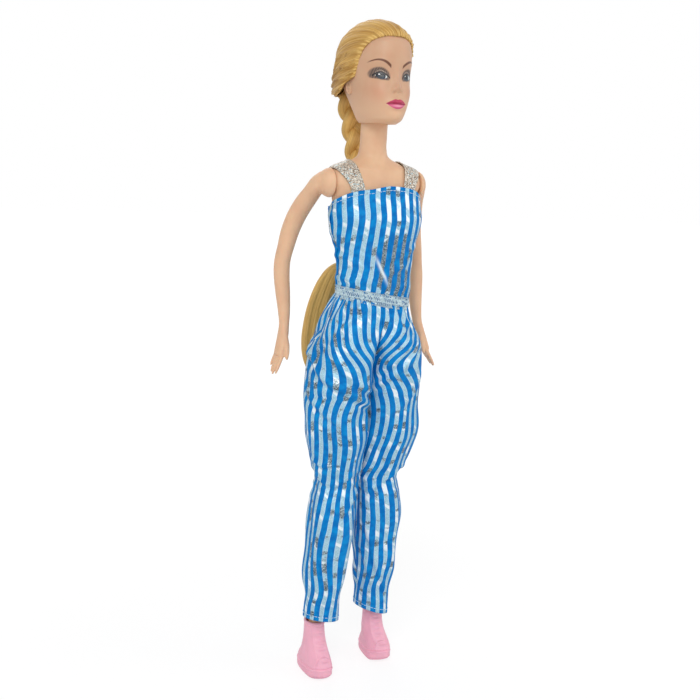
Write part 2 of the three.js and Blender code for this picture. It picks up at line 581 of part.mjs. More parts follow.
function makeBraid() {
  const swell = (angle, z) => {
    const phase = (Math.PI * (z - braidPath[0].z)) / braidBulge.pitch;
    const side = Math.cos(angle);
    const crossing = Math.abs(side > 0 ? Math.sin(phase) : Math.cos(phase));
    return braidBulge.depth * crossing * Math.abs(side);
  };
  const strand = solid(loftKeys(braidPath, { sides: 12, step: 2.7, relief: swell }));
  const coreBottom = tie.z - gap / 3;
  const coreTop = braidPath[0].z + overlap;
  const core = turnedZ([
    [0, coreBottom], [tie.coreRadius, coreBottom], [tie.coreRadius, coreTop], [0, coreTop],
  ], tie.x, tie.y, 16);
  return strand.add(core);
}

function makeHairTie() {
  const rim = 0.5;
  const top = tie.z + tie.height;
  const middle = tie.z + tie.height / 2;
  return turnedZ([
    [tie.inner, tie.z],
    [tie.outer - rim, tie.z],
    [tie.outer, middle],
    [tie.outer - rim, top],
    [tie.inner, top],
    [tie.inner, tie.z],
  ], tie.x, tie.y, 20);
}

function makeTail() {
  const locks = (angle, z) => 0.3 * Math.cos(8 * angle + 0.05 * z);
  return solid(loftKeys(tailPath, { sides: 24, relief: locks }));
}

// Cloth between an outer skin and the same skin drawn in by the cloth's thickness
function clothShell(keys, options, inner = {}) {
  const outer = solid(loftKeys(keys, options));
  const first = keys[0].z;
  const last = keys[keys.length - 1].z;
  const low = { ...sectionAt(keys, first), z: first - overlap };
  const high = { ...sectionAt(keys, last), z: last + overlap };
  const through = [low, ...keys, high];
  const hollow = solid(loftKeys(through, { sides: 20, step: 8, grow: -clothWall, ...inner }));
  return outer.subtract(hollow);
}

// The part of space above the jumpsuit's top edge
function aboveNeckline(shift = 0) {
  const zAt = (y) => neckline.frontZ + shift - neckline.slope * (y - neckline.frontY);
  return slabX([[-wide, zAt(-wide)], [wide, zAt(wide)], [wide, tall], [-wide, tall]], -wide, wide);
}

function makeBodice() {
  const cloth = clothShell(bodicePath, { sides: 30 })
    .intersect(column(gap / 3 - shoulder.x, shoulder.x - gap / 3, -wide, wide))
    .subtract(aboveNeckline())
    .subtract(solid(loftKeys(torsoPath, { sides: torsoSides, grow: gap })));
  const back = cloth.subtract(column(-wide, wide, -wide, seamY + gap / 2));
  return {
    front: cloth.subtract(column(-wide, wide, seamY - gap / 2, wide)),
    backRight: back.subtract(column(-gap / 2, wide, -wide, wide)),
    backLeft: back.subtract(column(-wide, gap / 2, -wide, wide)),
  };
}

// A strip of the hook-and-loop closure, under the bodice's back at the given depth
function makeClosureStrip(depth, lowX, highX) {
  const options = { sides: 30, step: 7, from: closure.bottom, to: closure.top };
  const outer = solid(loftKeys(bodicePath, { ...options, grow: -clothWall - depth }));
  const inner = solid(loftKeys(bodicePath, {
    ...options,
    from: closure.bottom - overlap,
    to: closure.top + overlap,
    grow: -clothWall - depth - closure.thickness,
  }));
  return outer.subtract(inner).intersect(column(lowX, highX, 0, wide));
}

// A strap lies on the shoulder from the front of the neckline to the back
function makeStrap() {
  const low = gap * 1.2;
  const high = low + strap.thickness;
  const cutFrom = torsoPath.findIndex((key) => key.z > strap.lowest);
  const outer = solid(loftKeys(torsoPath.slice(cutFrom), { sides: torsoSides, grow: high, rise: high }));
  const inner = solid(loftKeys(torsoPath.slice(cutFrom - 1), { sides: torsoSides, grow: low, rise: low }));
  return outer.subtract(inner)
    .intersect(column(strap.inner, strap.outer, -wide, wide))
    .intersect(aboveNeckline(gap));
}

function makeWaist() {
  const rib = (angle) => waist.ribDepth * Math.cos(waist.ribs * angle);
  const section = (z) => ({ ...waistOval, z });
  const sides = 2 * waist.ribs;
  const outer = [waist.bottom, waist.bottom + 0.6, waist.top - 0.6, waist.top]
    .map((z, i) => ovalRing(section(z), sides, i % 3 === 0 ? -0.4 : 0, rib));
  const inner = [waist.bottom - 1, waist.top + 1].map((z) => ovalRing(section(z), sides, -waist.wall));
  return solid(loft(outer)).subtract(solid(loft(inner)))
    .subtract(solid(loftKeys(torsoPath, { sides: torsoSides, grow: gap })));
}

function makeSeat() {
  const gathers = (angle, z) => (
    pleats.depth * Math.cos(pleats.count * angle) * THREE.MathUtils.smoothstep(z, pleats.from, pleats.to)
  );
  const waistCloth = clothShell(seatPath, { sides: 42, relief: gathers }, { sides: 28 });
  const gore = cylinderX(clothHip.radius, -hip.wedgeHalf, hip.wedgeHalf, seamY, hip.z, 24)
    .subtract(cylinderX(clothHip.radius - clothWall, -wide, wide, seamY, hip.z, 24))
    .intersect(block(-wide, wide, -wide, wide, 0, seatPath[0].z + overlap));
  const inside = cylinderX(clothHip.radius - clothWall, -hip.wedgeHalf, hip.wedgeHalf, seamY, hip.z, 24)
    .intersect(block(-wide, wide, -wide, wide, 0, hip.z + 2 * overlap));
  let seat = waistCloth.add(gore).subtract(inside);
  const outline = [
    [-wide, 0],
    [wide, 0],
    [wide, seatEdge.backZ],
    [seatEdge.backY, seatEdge.backZ],
    [seatEdge.frontY, seatEdge.frontZ],
    [-wide, seatEdge.frontZ],
  ];
  const domeRoom = domeProfile(hip.wedgeHalf, clothHip.outer + swingGap, clothHip.radius + swingGap);
  for (const side of [left, right]) {
    const below = slabX(outline, hip.wedgeHalf, wide);
    const dome = turnedX(domeRoom, seamY, hip.z, 24);
    seat = seat.subtract(mirrored(below, side)).subtract(mirrored(dome, side));
  }
  return seat;
}

// What a leg may not enter as it turns: the pelvis wedge with its gore, and the other leg's side
function legLimits() {
  const reach = clothHip.radius + crotchRoom;
  const wedge = cylinderX(reach, -overlap, hip.wedgeHalf + swingGap, seamY, hip.z, 24);
  return wedge.add(column(-wide, gap / 2, -wide, wide));
}

// The foot's keys for one side, moved to where that foot stands, with the leg above it
function placedLegPath(side) {
  const foot = feet[sideName[side]];
  const reach = side * foot.x;
  const drop = legPath[0];
  return legPath.map((key) => {
    const share = THREE.MathUtils.clamp((hip.z - key.z) / (hip.z - drop.z), 0, 1);
    return { ...key, x: key.x + (reach - drop.x) * share, y: key.y + (foot.y - drop.y) * share };
  });
}

function placeFoot(body, side) {
  const foot = feet[sideName[side]];
  return body.rotate([0, 0, side * -foot.toeIn]).translate([foot.x, foot.y, 0]);
}

function makeLeg(side) {
  const domeSkin = domeProfile(hip.wedgeHalf + swingGap, hip.skinOuter, hip.skinRadius);
  const dome = turnedX(domeSkin, seamY, hip.z, 20);
  const ankle = { ...footPath[footPath.length - 1], z: 30 };
  const thigh = solid(loftKeys(placedLegPath(side), { sides: 12 }));
  const pegEnd = hip.wedgeHalf + overlap;
  const peg = turnedX([
    [hipPeg.headStart, 0],
    [hipPeg.headStart, hipPeg.headRadius],
    [hipPeg.headStart + hipPeg.headLength, hipPeg.headRadius],
    [hipPeg.headStart + hipPeg.headLength, hipPeg.radius],
    [pegEnd, hipPeg.radius],
    [pegEnd, 0],
  ], seamY, hip.z, 24);
  const upper = mirrored(dome.add(thigh).subtract(legLimits()).add(peg), side);
  const foot = placeFoot(solid(loftKeys([...footPath, ankle, { ...ankle, z: 36 }], { sides: 14 })), side);
  return upper.add(foot);
}

// Where the trouser leg hangs, drawn towards where its foot stands
function placedTrouserPath(side) {
  const foot = feet[sideName[side]];
  return trouserPath.map((key) => {
    const share = THREE.MathUtils.clamp((hip.z - key.z) / (hip.z - trouserPath[0].z), 0, 1);
    const x = key.x + (side * foot.x - trouserAnkle.x) * share;
    return { ...key, x, y: key.y + (foot.y - trouserAnkle.y) * share };
  });
}

function makeTrouserLeg(side) {
  const keys = placedTrouserPath(side);
  const drape = (angle, z) => (
    folds.depth * Math.cos(folds.count * angle + folds.twist * z * side)
    * THREE.MathUtils.smoothstep(z, ...folds.rise) * (1 - THREE.MathUtils.smoothstep(z, ...folds.fade))
  );
  const outer = solid(loftKeys(keys, { sides: 20, step: 7.6, relief: drape }));
  const bottom = { ...keys[0], z: keys[0].z - overlap };
  const inner = solid(loftKeys([bottom, ...keys], { sides: 14, grow: -clothWall - folds.depth }));
  const domeCloth = domeProfile(hip.wedgeHalf + swingGap, clothHip.outer, clothHip.radius);
  const domeHollow = domeProfile(0, clothHip.outer, clothHip.radius, clothWall);
  const domeOuter = turnedX(domeCloth, seamY, hip.z, 24);
  const domeInner = turnedX(domeHollow, seamY, hip.z, 18);
  const cloth = domeOuter.add(outer).subtract(legLimits()).subtract(inner).subtract(domeInner);
  return mirrored(cloth, side);
}

// The room that the foot passes through as the shoe is pulled off it: at each height, all that
// the sections below it reach on their way out
function footRoom() {
  const lean = pullOff.y / pullOff.z;
  const rings = footPath.map((foot) => foot.z).map((z) => {
    const passing = footPath.filter((key) => key.z <= z).concat(sectionAt(footPath, z)).map((key) => {
      const y = key.y + lean * (z - key.z);
      return { low: y - key.front, high: y + key.back, half: key.half };
    });
    const low = Math.min(...passing.map((p) => p.low));
    const high = Math.max(...passing.map((p) => p.high));
    const half = Math.max(...passing.map((p) => p.half));
    return { z, x: 0, y: (low + high) / 2, half, front: (high - low) / 2, back: (high - low) / 2, power: 3 };
  });
  return [{ ...rings[0], z: rings[0].z - footClearance }, ...rings];
}

function makeShoe(side) {
  const upper = solid(loftKeys(shoePath, { sides: 26 }));
  const cavity = solid(loftKeys(footRoom(), { sides: 14, grow: footClearance }));
  return placeFoot(upper.subtract(cavity), side);
}

function makeArm() {
  const cap = turnedX([
    [shoulder.x + gap, 0],
    [shoulder.x + gap, shoulder.capRadius],
    [shoulder.x + 0.42 * shoulder.capLength, shoulder.capRadius - 0.2],
    [shoulder.x + 0.72 * shoulder.capLength, shoulder.capRadius - 1.3],
    [shoulder.x + 0.92 * shoulder.capLength, shoulder.capRadius - 3.2],
    [shoulder.x + shoulder.capLength, 0],
  ], seamY, shoulder.z, 22);
  const peg = turnedX([
    [pegInner, 0],
    [pegInner, shoulderPeg.headRadius],
    [pegInner + shoulderPeg.headLength, shoulderPeg.headRadius],
    [pegInner + shoulderPeg.headLength, shoulderPeg.radius],
    [shoulder.x + overlap, shoulderPeg.radius],
    [shoulder.x + overlap, 0],
  ], seamY, shoulder.z, 14);
  const limb = solid(loftKeys([...armPath].reverse(), { sides: 14 }))
    .subtract(column(-wide, shoulder.x + gap, -wide, wide));
  const thumb = solid(loftKeys([...thumbPath].reverse(), { sides: 8 }));
  return cap.add(limb).add(thumb).add(peg);
}

function mesh(name, body, look) {
  const material = new THREE.MeshStandardMaterial(look);
  const piece = new THREE.Mesh(geometryOf(body), material);
  piece.name = name;
  return piece;
}

function bothSides(name, make, look) {
  return [right, left].map((side) => mesh(`${name}_${sideName[side]}`, make(side), look));
}

const doll = new THREE.Group();
doll.position.y = standY;
doll.scale.setScalar(height / drawnHeight);

const torso = makeTorso();
doll.add(mesh('torso_front', torso.front, skin));
doll.add(mesh('torso_back', torso.back, skin));
doll.add(mesh('neck_knob', makeNeckKnob(), skin));
doll.add(mesh('head', makeHead(), skin));
doll.add(mesh('hair_cap', makeHairCap(), blonde));
doll.add(mesh('braid', makeBraid(), blonde));
doll.add(mesh('hair_tie', makeHairTie(), blonde));
doll.add(mesh('hair_tail', makeTail(), blonde));
doll.add(...bothSides('arm', (side) => mirrored(makeArm(), side), skin));
doll.add(...bothSides('leg', makeLeg, skin));
doll.add(...bothSides('shoe', makeShoe, pinkVinyl));

const bodice = makeBodice();
doll.add(mesh('bodice_front', bodice.front, stripedCloth));
doll.add(mesh('bodice_back_right', bodice.backRight, stripedCloth));
doll.add(mesh('bodice_back_left', bodice.backLeft, stripedCloth));
const hook = makeClosureStrip(gap, gap / 2, closure.halfWidth);
const loop = makeClosureStrip(2 * gap + closure.thickness, -closure.halfWidth, closure.halfWidth);
doll.add(mesh('closure_hook', hook, whitePlastic));
doll.add(mesh('closure_loop', loop, whitePlastic));
doll.add(...bothSides('strap', (side) => mirrored(makeStrap(), side), silver));
doll.add(mesh('waist_elastic', makeWaist(), silver));
doll.add(mesh('trouser_seat', makeSeat(), stripedCloth));
doll.add(...bothSides('trouser_leg', makeTrouserLeg, stripedCloth));

export default doll;
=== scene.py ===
"""A fashion doll in a striped foil jumpsuit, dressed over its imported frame.

Shapes are worked out in millimetres, in the doll's own frame: +Z up, facing -Y, its right side at -X.
A mesh is made in metres, moved back by the frame's own shift along Y.
"""
import json
import math

import bmesh
import bpy
import numpy as np
from mathutils import Matrix, Vector


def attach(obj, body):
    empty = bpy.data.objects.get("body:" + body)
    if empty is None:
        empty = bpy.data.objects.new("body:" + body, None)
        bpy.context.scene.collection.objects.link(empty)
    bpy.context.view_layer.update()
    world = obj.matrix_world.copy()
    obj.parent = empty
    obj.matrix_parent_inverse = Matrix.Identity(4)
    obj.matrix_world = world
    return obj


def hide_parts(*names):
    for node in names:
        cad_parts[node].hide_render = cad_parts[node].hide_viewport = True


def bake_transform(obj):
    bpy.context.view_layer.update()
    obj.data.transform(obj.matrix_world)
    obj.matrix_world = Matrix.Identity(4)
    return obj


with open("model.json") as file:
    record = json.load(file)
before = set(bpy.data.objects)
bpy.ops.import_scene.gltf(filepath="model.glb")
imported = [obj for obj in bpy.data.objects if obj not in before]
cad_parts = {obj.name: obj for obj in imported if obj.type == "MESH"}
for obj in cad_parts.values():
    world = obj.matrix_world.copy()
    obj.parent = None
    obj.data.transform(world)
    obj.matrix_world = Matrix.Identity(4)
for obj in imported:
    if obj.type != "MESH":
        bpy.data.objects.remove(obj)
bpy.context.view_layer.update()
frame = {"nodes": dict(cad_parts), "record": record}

MM = 0.001
RIGHT, LEFT = -1, 1
SIDE_NAME = {RIGHT: "right", LEFT: "left"}
joints = {joint["name"]: joint for joint in frame["record"]["behaviour"]["joints"]}

# The seam of the torso halves, in the doll's frame, carries the shoulder and hip axes
SEAM_Y = -1.2
SHIFT_Y = joints["hip_right"]["pos_m"][1] / MM - SEAM_Y
SHOULDER_Z = joints["shoulder_right"]["pos_m"][2] / MM
SHOULDER_X = joints["shoulder_left"]["pos_m"][0] / MM
HIP_Z = joints["hip_right"]["pos_m"][2] / MM

# Outlines of the doll, each row: height, centre x and y, half width, depth in front and behind, squareness
TORSO = [
    (158, 0, -1.4, 20.5, 12.0, 13.0, 2.2),
    (165, 0, -2.4, 17.6, 11.2, 11.6, 2.2),
    (171, 0, -3.8, 14.9, 9.3, 9.4, 2.1),
    (177, 0, -4.8, 13.5, 8.2, 7.8, 2.1),
    (184, 0, -4.8, 13.2, 8.0, 7.2, 2.1),
    (192, 0, -4.2, 14.6, 8.8, 7.0, 2.1),
    (199, 0, -3.4, 16.2, 10.2, 7.2, 2.1),
    (206, 0, -2.8, 17.6, 12.1, 7.6, 2.1),
    (211, 0, -2.5, 18.1, 12.6, 8.0, 2.1),
    (216, 0, -2.2, 18.9, 11.3, 8.2, 2.2),
    (220.5, 0, -2.0, 19.7, 10.0, 8.2, 2.4),
    (223, 0, -1.8, 20.3, 9.5, 8.1, 2.6),
    (225.5, 0, -1.6, 21.2, 8.8, 8.0, 3),
    (229, 0, -1.2, 20.9, 7.8, 7.6, 3),
    (231.6, 0, -0.8, 19.2, 7.0, 7.2, 2.6),
    (234, 0, 0, 12.8, 6.2, 6.6, 2.2),
    (236.5, 0, 0.8, 7.6, 5.6, 5.9, 2),
    (240, 0, 1.1, 6.0, 5.6, 5.5, 2),
    (245, 0, 1.1, 5.8, 5.7, 5.3, 2),
    (251.3, 0, 1.1, 5.8, 5.8, 5.2, 2),
]
HEAD = [
    (250.7, 0, 0, 6.9, 12.8, 7.6, 2),
    (252, 0, 0, 7.9, 16.0, 8.4, 2.1),
    (254, 0, 0, 8.9, 17.4, 9.6, 2.1),
    (258, 0, 0, 10.3, 17.8, 12.4, 2.2),
    (263, 0, 0, 11.5, 17.2, 17.6, 2.2),
    (268, 0, 1, 12.2, 17.2, 22.0, 2.2),
    (274, 0, 2, 12.5, 18.4, 22.4, 2.25),
    (280, 0, 3, 12.6, 19.2, 18.4, 2.3),
    (285, 0, 3, 11.5, 17.4, 14.6, 2.2),
    (288.6, 0, 3, 8.6, 12.4, 10.0, 2),
    (290.8, 0, 3, 4.4, 6.2, 5.2, 2),
    (291.6, 0, 3, 0.3, 0.4, 0.4, 2),
]
HAIR = [
    (254.4, 0, 9, 6.6, 10, 14.6, 2),
    (256.8, 0, 8, 9.8, 12, 16.6, 2),
    (259.5, 0, 8, 12.7, 14, 18.8, 2),
    (263, 0, 8, 14.0, 18, 19.8, 2),
    (268, 0, 7, 14.5, 22.2, 20.6, 2),
    (274, 0, 6, 14.2, 22.2, 20.6, 2),
    (280, 0, 5, 14.4, 22.2, 19.2, 2.15),
    (285, 0, 4, 13.5, 20.0, 16.4, 2.15),
    (289.4, 0, 3.4, 10.4, 15.2, 11.8, 2),
    (292.2, 0, 3.4, 6.2, 9.4, 7.2, 2),
    (293.4, 0, 3.4, 2.4, 3.8, 2.8, 2),
    (293.8, 0, 3.4, 0.2, 0.3, 0.3, 2),
]
# The hairline in side view, from the forehead's centre round the ear to the nape, as y and z
HAIRLINE = [
    (-20, 287.6), (-14.2, 286.6), (-11.2, 284.2), (-8.2, 280.8), (-5.8, 276.8), (-4.0, 272.4),
    (-3.0, 269.6), (-1.4, 268.0), (2.8, 267.2), (5.4, 265.2), (8.4, 263.2), (11.4, 262.0), (16, 261.6), (30, 261.4),
]
ARM = [
    (142.4, 40.3, 6.9, 0.6, 1.4, 1.3, 2),
    (144.5, 39.4, 7.4, 1.2, 2.6, 2.4, 2),
    (149, 37.5, 8.4, 1.6, 3.4, 3.2, 2),
    (154, 35.7, 9.4, 2.1, 3.6, 3.4, 2),
    (159, 34.3, 10.5, 2.3, 3.0, 3.0, 2),
    (163, 33.6, 11.4, 2.2, 2.4, 2.4, 2),
    (168, 33.3, 12.6, 2.6, 2.7, 2.7, 2),
    (176, 33.4, 14.4, 3.2, 3.2, 3.2, 2),
    (184, 33.6, 15.8, 3.5, 3.6, 3.5, 2),
    (190, 33.2, 16.5, 3.5, 3.9, 3.7, 2),
    (197, 31.9, 15.7, 3.7, 4.1, 3.9, 2),
    (204, 30.2, 15.0, 4.2, 4.3, 4.1, 2),
    (211, 28.2, 12.6, 4.6, 4.6, 4.4, 2),
    (218, 25.8, 8.6, 4.7, 5.2, 4.8, 2),
    (223, 24.3, 4.4, 4.1, 5.6, 4.8, 2),
    (227.4, 23.3, 1.6, 3.0, 4.8, 4.2, 2),
    (229.8, 22.6, 0.0, 1.2, 2.4, 2.4, 2),
]
LEG = [
    (34, 13.9, 6.2, 3.2, 3.3, 3.4, 2),
    (44, 13.3, 4.6, 4.4, 4.2, 4.2, 2),
    (58, 12.1, 3.2, 5.9, 5.3, 6.2, 2),
    (68, 11.4, 2.4, 6.4, 5.7, 7.2, 2),
    (80, 10.5, 1.2, 6.2, 6.0, 6.4, 2),
    (92, 9.4, 0.2, 6.2, 6.6, 6.0, 2),
    (104, 10.6, -0.4, 7.7, 7.8, 7.8, 2),
    (120, 12.2, -1.0, 9.8, 10.0, 10.2, 2),
    (131, 13.0, -1.2, 10.0, 9.8, 11.4, 2),
    (135, 13.2, -1.2, 9.9, 7.8, 11.4, 2),
    (139, 13.3, -1.2, 9.6, 5.0, 10.6, 2),
    (145, 13.4, -1.2, 8.4, 4.4, 8.8, 2),
    (148, 13.4, -1.2, 6.0, 3.2, 6.0, 2),
]
FOOT = [
    (3.0, 0, -8.6, 1.9, 1.2, 1.6, 2),
    (4.6, 0, -7.8, 2.4, 2.0, 2.4, 2),
    (9, 0, -5.4, 2.7, 2.2, 3.0, 2),
    (14, 0, -2.8, 2.9, 2.4, 3.2, 2),
    (20, 0, -0.6, 3.0, 2.6, 3.1, 2),
    (27, 0, 0, 3.1, 3.1, 3.2, 2),
    (36, 0, 0, 3.1, 3.1, 3.2, 2),
]
SHOE = [
    (0, 0, -3.4, 5.2, 8.4, 13.2, 2.4),
    (1.2, 0, -3.4, 5.7, 9.1, 14.0, 2.4),
    (4.4, 0, -3.4, 5.9, 9.3, 14.2, 2.4),
    (7.0, 0, -3.2, 5.8, 8.7, 13.0, 2.3),
    (9.4, 0, -2.6, 5.5, 7.7, 10.8, 2.2),
    (13, 0, -1.2, 5.1, 6.4, 8.2, 2.1),
    (18, 0, 0.2, 4.7, 5.7, 5.8, 2),
    (24.8, 0, 0.9, 4.4, 4.9, 5.2, 2),
]
FEET = {RIGHT: (-14, 6.5, 3), LEFT: (19.3, 11.6, 3)}  # where each stands, and how far its toe turns in
TROUSER_ANKLE = (14.2, 7.4)  # where the trouser rows have the ankle
BRAID = [
    (193, -3.2, 11.2, 3.3, 3.0, 3.0, 2),
    (198, -2.8, 12.3, 4.4, 3.9, 3.8, 2),
    (208, -1.5, 13.7, 4.8, 4.3, 4.2, 2),
    (222, -0.2, 14.4, 5.0, 4.5, 4.4, 2),
    (236, 0.2, 15.6, 5.1, 4.6, 4.5, 2),
    (246, -0.3, 17.4, 5.6, 4.8, 4.7, 2),
    (258, -0.6, 20.4, 6.8, 5.0, 4.6, 2),
    (264, -1.0, 22.5, 6.5, 4.5, 4.5, 2),
]
TAIL = [
    (128.6, -3.4, 24.2, 1.2, 0.7, 0.7, 2),
    (132, -3.6, 24.4, 5.6, 2.0, 2.2, 2),
    (138, -4.0, 24.6, 10.2, 3.0, 3.2, 2),
    (145, -4.3, 24.6, 13.2, 3.5, 3.8, 2),
    (153, -4.4, 24.2, 14.3, 3.7, 4.2, 2),
    (161, -4.4, 23.0, 14.2, 3.8, 4.2, 2),
    (169, -4.4, 20.6, 13.8, 3.8, 4.4, 2),
    (177, -4.4, 17.4, 12.7, 3.9, 4.6, 2),
    (183, -4.3, 14.8, 11.2, 3.9, 4.6, 2),
    (187.5, -4.0, 13.0, 8.8, 3.7, 4.4, 2),
    (189.8, -3.6, 11.8, 6.0, 3.3, 3.6, 2),
    (190.7, -3.2, 11.2, 3.2, 2.8, 2.8, 2),
]
BODICE = [
    (180.0, 0.4, -5.2, 16.8, 9.6, 10.2, 2.1),
    (186, 0.6, -5.0, 17.1, 9.9, 9.6, 2.1),
    (192, 0.9, -4.6, 17.6, 10.6, 9.3, 2.1),
    (199, 0.9, -3.8, 18.5, 11.9, 9.8, 2.1),
    (206, 0.8, -3.0, 21.0, 13.5, 10.6, 2.1),
    (211, 0.9, -2.6, 21.9, 14.0, 10.9, 2.1),
    (216, 0.8, -2.4, 21.6, 12.8, 11.2, 2.1),
    (221, 0.3, -2.1, 20.7, 11.4, 11.0, 2.4),
    (228, 0, -2.0, 19.9, 10.4, 10.8, 2.6),
]
WAIST_X, WAIST_LOW, WAIST_HIGH = 0.4, 174.3, 179.6
WAIST = [(z, WAIST_X, -5.2, 17.0, 9.9, 11.0, 2.1) for z in (WAIST_LOW, WAIST_HIGH)]
# A trouser leg; above the crotch the hips, whose inner side is the centre seam
TROUSER = [
    (26, 13.4, 4.8, 8.2, 8.5, 9.0, 2),
    (31, 13.3, 4.5, 8.0, 8.4, 9.1, 2),
    (37, 13.2, 3.9, 8.0, 8.4, 9.3, 2),
    (48, 12.9, 3.0, 9.6, 9.9, 10.5, 2),
    (60, 11.9, 2.5, 10.6, 10.9, 11.1, 2),
    (75, 11.2, 1.4, 10.9, 11.2, 11.2, 2),
    (86, 10.4, 0.9, 10.1, 10.5, 10.4, 2),
    (94, 9.6, 0.5, 9.3, 9.6, 9.5, 2),
    (100, 10.6, -0.2, 11.1, 11.4, 11.4, 2),
    (107, 11.6, -0.6, 12.0, 12.6, 12.8, 2),
    (116, 12.6, -1.0, 13.3, 14.2, 14.8, 2),
    (130, 13.0, -1.2, 13.6, 15.2, 16.2, 2),
    (142, 12.4, -1.3, 13.9, 16.6, 17.2, 2.1),
    (152, 10.8, -1.6, 14.2, 17.4, 17.6, 2.1),
    (160, 8.6, -2.2, 14.5, 16.4, 16.4, 2.1),
    (167, 5.8, -3.4, 14.6, 13.8, 14.2, 2.1),
    (175.4, 1.9, -5.0, 14.7, 9.8, 10.6, 2.1),
]
NECKLINE = {"front_z": 225.3, "front_y": -13, "slope": 0.75, "back_slope": 0.12}
WAIST_TILT = 0.165  # the waistband is higher at the right side by this much per millimetre
# How each trouser hem lies: its slopes along x and y, a lift and a draw along x
HEM_LEAN = {RIGHT: (-0.15, -0.12, 1.1, 0.7), LEFT: (-0.3, 0.0, -0.3, -2.2)}
CROTCH = {"top": 152, "bottom": 135, "y": -1.0}
SEAM_X = 0.04  # the centre seam's half gap between the legs' cloths
LEG_COLUMNS, LEG_ROWS = 201, 300  # of a trouser leg's cloth
# Folds of the trousers: depth, width, then turn round the leg and height at points along the fold
FOLDS = {
    RIGHT: [
        (0.9, 2.1, [(0.34, 175), (0.42, 168.5), (0.46, 162), (0.5, 156), (0.55, 150)]),
        (0.6, 1.7, [(0.48, 172), (0.54, 165), (0.6, 158)]),
        (0.6, 1.1, [(0.29, 172), (0.36, 166), (0.4, 161)]),
        (1.2, 1.7, [(0.1, 130.5), (0.2, 134), (0.28, 138), (0.34, 140.2), (0.41, 143.4), (0.5, 149), (0.6, 156)]),
        (0.8, 1.5, [(0.07, 136), (0.16, 138.5), (0.26, 143), (0.34, 149), (0.4, 154)]),
        (0.7, 1.4, [(0.3, 124), (0.38, 127), (0.46, 132), (0.55, 139)]),
        (0.7, 1.3, [(0.22, 99), (0.27, 96.5), (0.34, 93.6), (0.42, 94.5), (0.5, 99.5)]),
        (0.6, 1.2, [(0.3, 105), (0.4, 103), (0.52, 106)]),
        (0.7, 1.6, [(0.02, 96), (0.1, 91), (0.2, 86), (0.3, 78)]),
    ],
    LEFT: [
        (1.1, 1.5, [(0.02, 139.5), (0.08, 142.5), (0.13, 145.8), (0.19, 150), (0.24, 154.4), (0.3, 159)]),
        (0.9, 1.5, [(0.05, 136), (0.1, 139), (0.15, 142), (0.21, 146), (0.28, 151), (0.35, 157.5)]),
        (0.7, 1.3, [(0.23, 162), (0.3, 165.5), (0.38, 170)]),
        (0.4, 1.6, [(0.12, 124), (0.22, 129), (0.32, 136), (0.4, 143)]),
        (0.9, 1.5, [(0.1, 88), (0.16, 91), (0.24, 95), (0.35, 98.5), (0.45, 98)]),
        (0.9, 1.8, [(0.08, 74), (0.13, 66), (0.17, 55), (0.22, 45), (0.3, 38)]),
        (0.6, 1.4, [(0.05, 60), (0.1, 52), (0.15, 43)]),
    ],
}
SEAT_FOLDS = [  # behind, on both legs
    (1.0, 1.8, [(0.98, 134), (0.9, 137), (0.8, 143), (0.7, 150), (0.62, 156)]),
    (0.8, 1.6, [(0.97, 141), (0.88, 145), (0.78, 152), (0.7, 159)]),
    (0.7, 1.5, [(0.6, 92), (0.7, 90), (0.8, 92), (0.9, 96)]),
    (0.7, 1.6, [(0.65, 128), (0.75, 124), (0.86, 122)]),
]
STRIPE_PITCH = {"bodice": 4.9, "trousers": 4.5}
FOIL_HALF = 0.215  # half the foil's share of a stripe's pitch
CLOTH_WALL = 0.28
STITCH_RING = 4  # hem stitches run this many rings in from a cloth's edge


# Numbers on a keyed outline
def outline_at(rows, heights):
    """Centre, half width, depths and squareness at each height, on smooth curves through the rows."""
    rows = np.array(rows, float)
    z = np.asarray(heights, float)
    known = rows[:, 0]
    step = np.diff(rows, axis=0)
    slope = step[:, 1:] / step[:, :1]
    knot = np.vstack([slope[:1], (slope[:-1] + slope[1:]) / 2, slope[-1:]])
    i = np.clip(np.searchsorted(known, z) - 1, 0, len(known) - 2)
    span = (known[i + 1] - known[i])[..., None]
    t = np.clip((z - known[i]) / span[..., 0], 0, 1)[..., None]
    low, high = rows[i, 1:], rows[i + 1, 1:]
    return (low * (2 * t**3 - 3 * t**2 + 1) + high * (3 * t**2 - 2 * t**3)
            + span * (knot[i] * (t**3 - 2 * t**2 + t) + knot[i + 1] * (t**3 - t**2)))


def tube(rows, heights, angles, grow=0.0):
    """Points round the outline at each height: an array of rings. Angles run anticlockwise from +X."""
    z = np.asarray(heights, float)
    if z.ndim == 1:
        z = np.repeat(z[:, None], len(angles), axis=1)
    x, y, half, front, back, power = np.moveaxis(outline_at(rows, z), -1, 0)
    c, s = np.cos(angles), np.sin(angles)
    bend = 2 / power
    depth = np.where(s < 0, front, back)
    return stacked(
        x + (half + grow) * np.sign(c) * np.abs(c) ** bend,
        y + (depth + grow) * np.sign(s) * np.abs(s) ** bend,
        z,
    )


def full_turn(count):
    """Angles of the columns round a closed ring."""
    return np.arange(count) * (2 * math.pi / count)


def stacked(*coordinates):
    """Points, or cloth coordinates, from arrays that are brought to one shape."""
    return np.stack(np.broadcast_arrays(*coordinates), axis=-1)


def smoothstep(low, high, value):
    """0 at low and 1 at high, eased at both; low may be the larger of the two."""
    t = np.clip((value - low) / (high - low), 0, 1)
    return t * t * (3 - 2 * t)


def bump(value, centre, width):
    """1 at the centre, falling to 0 over about the width on both sides."""
    return np.exp(-(((value - centre) / width) ** 2))


def normals_of(points, closed=True):
    """Unit normals of a grid of rings, pointing out of a ring that runs anticlockwise."""
    if closed:
        across = np.roll(points, -1, axis=1) - np.roll(points, 1, axis=1)
    else:
        across = np.gradient(points, axis=1)
    along = np.gradient(points, axis=0)
    normal = np.cross(across, along)
    return normal / np.maximum(np.linalg.norm(normal, axis=-1, keepdims=True), 1e-9)


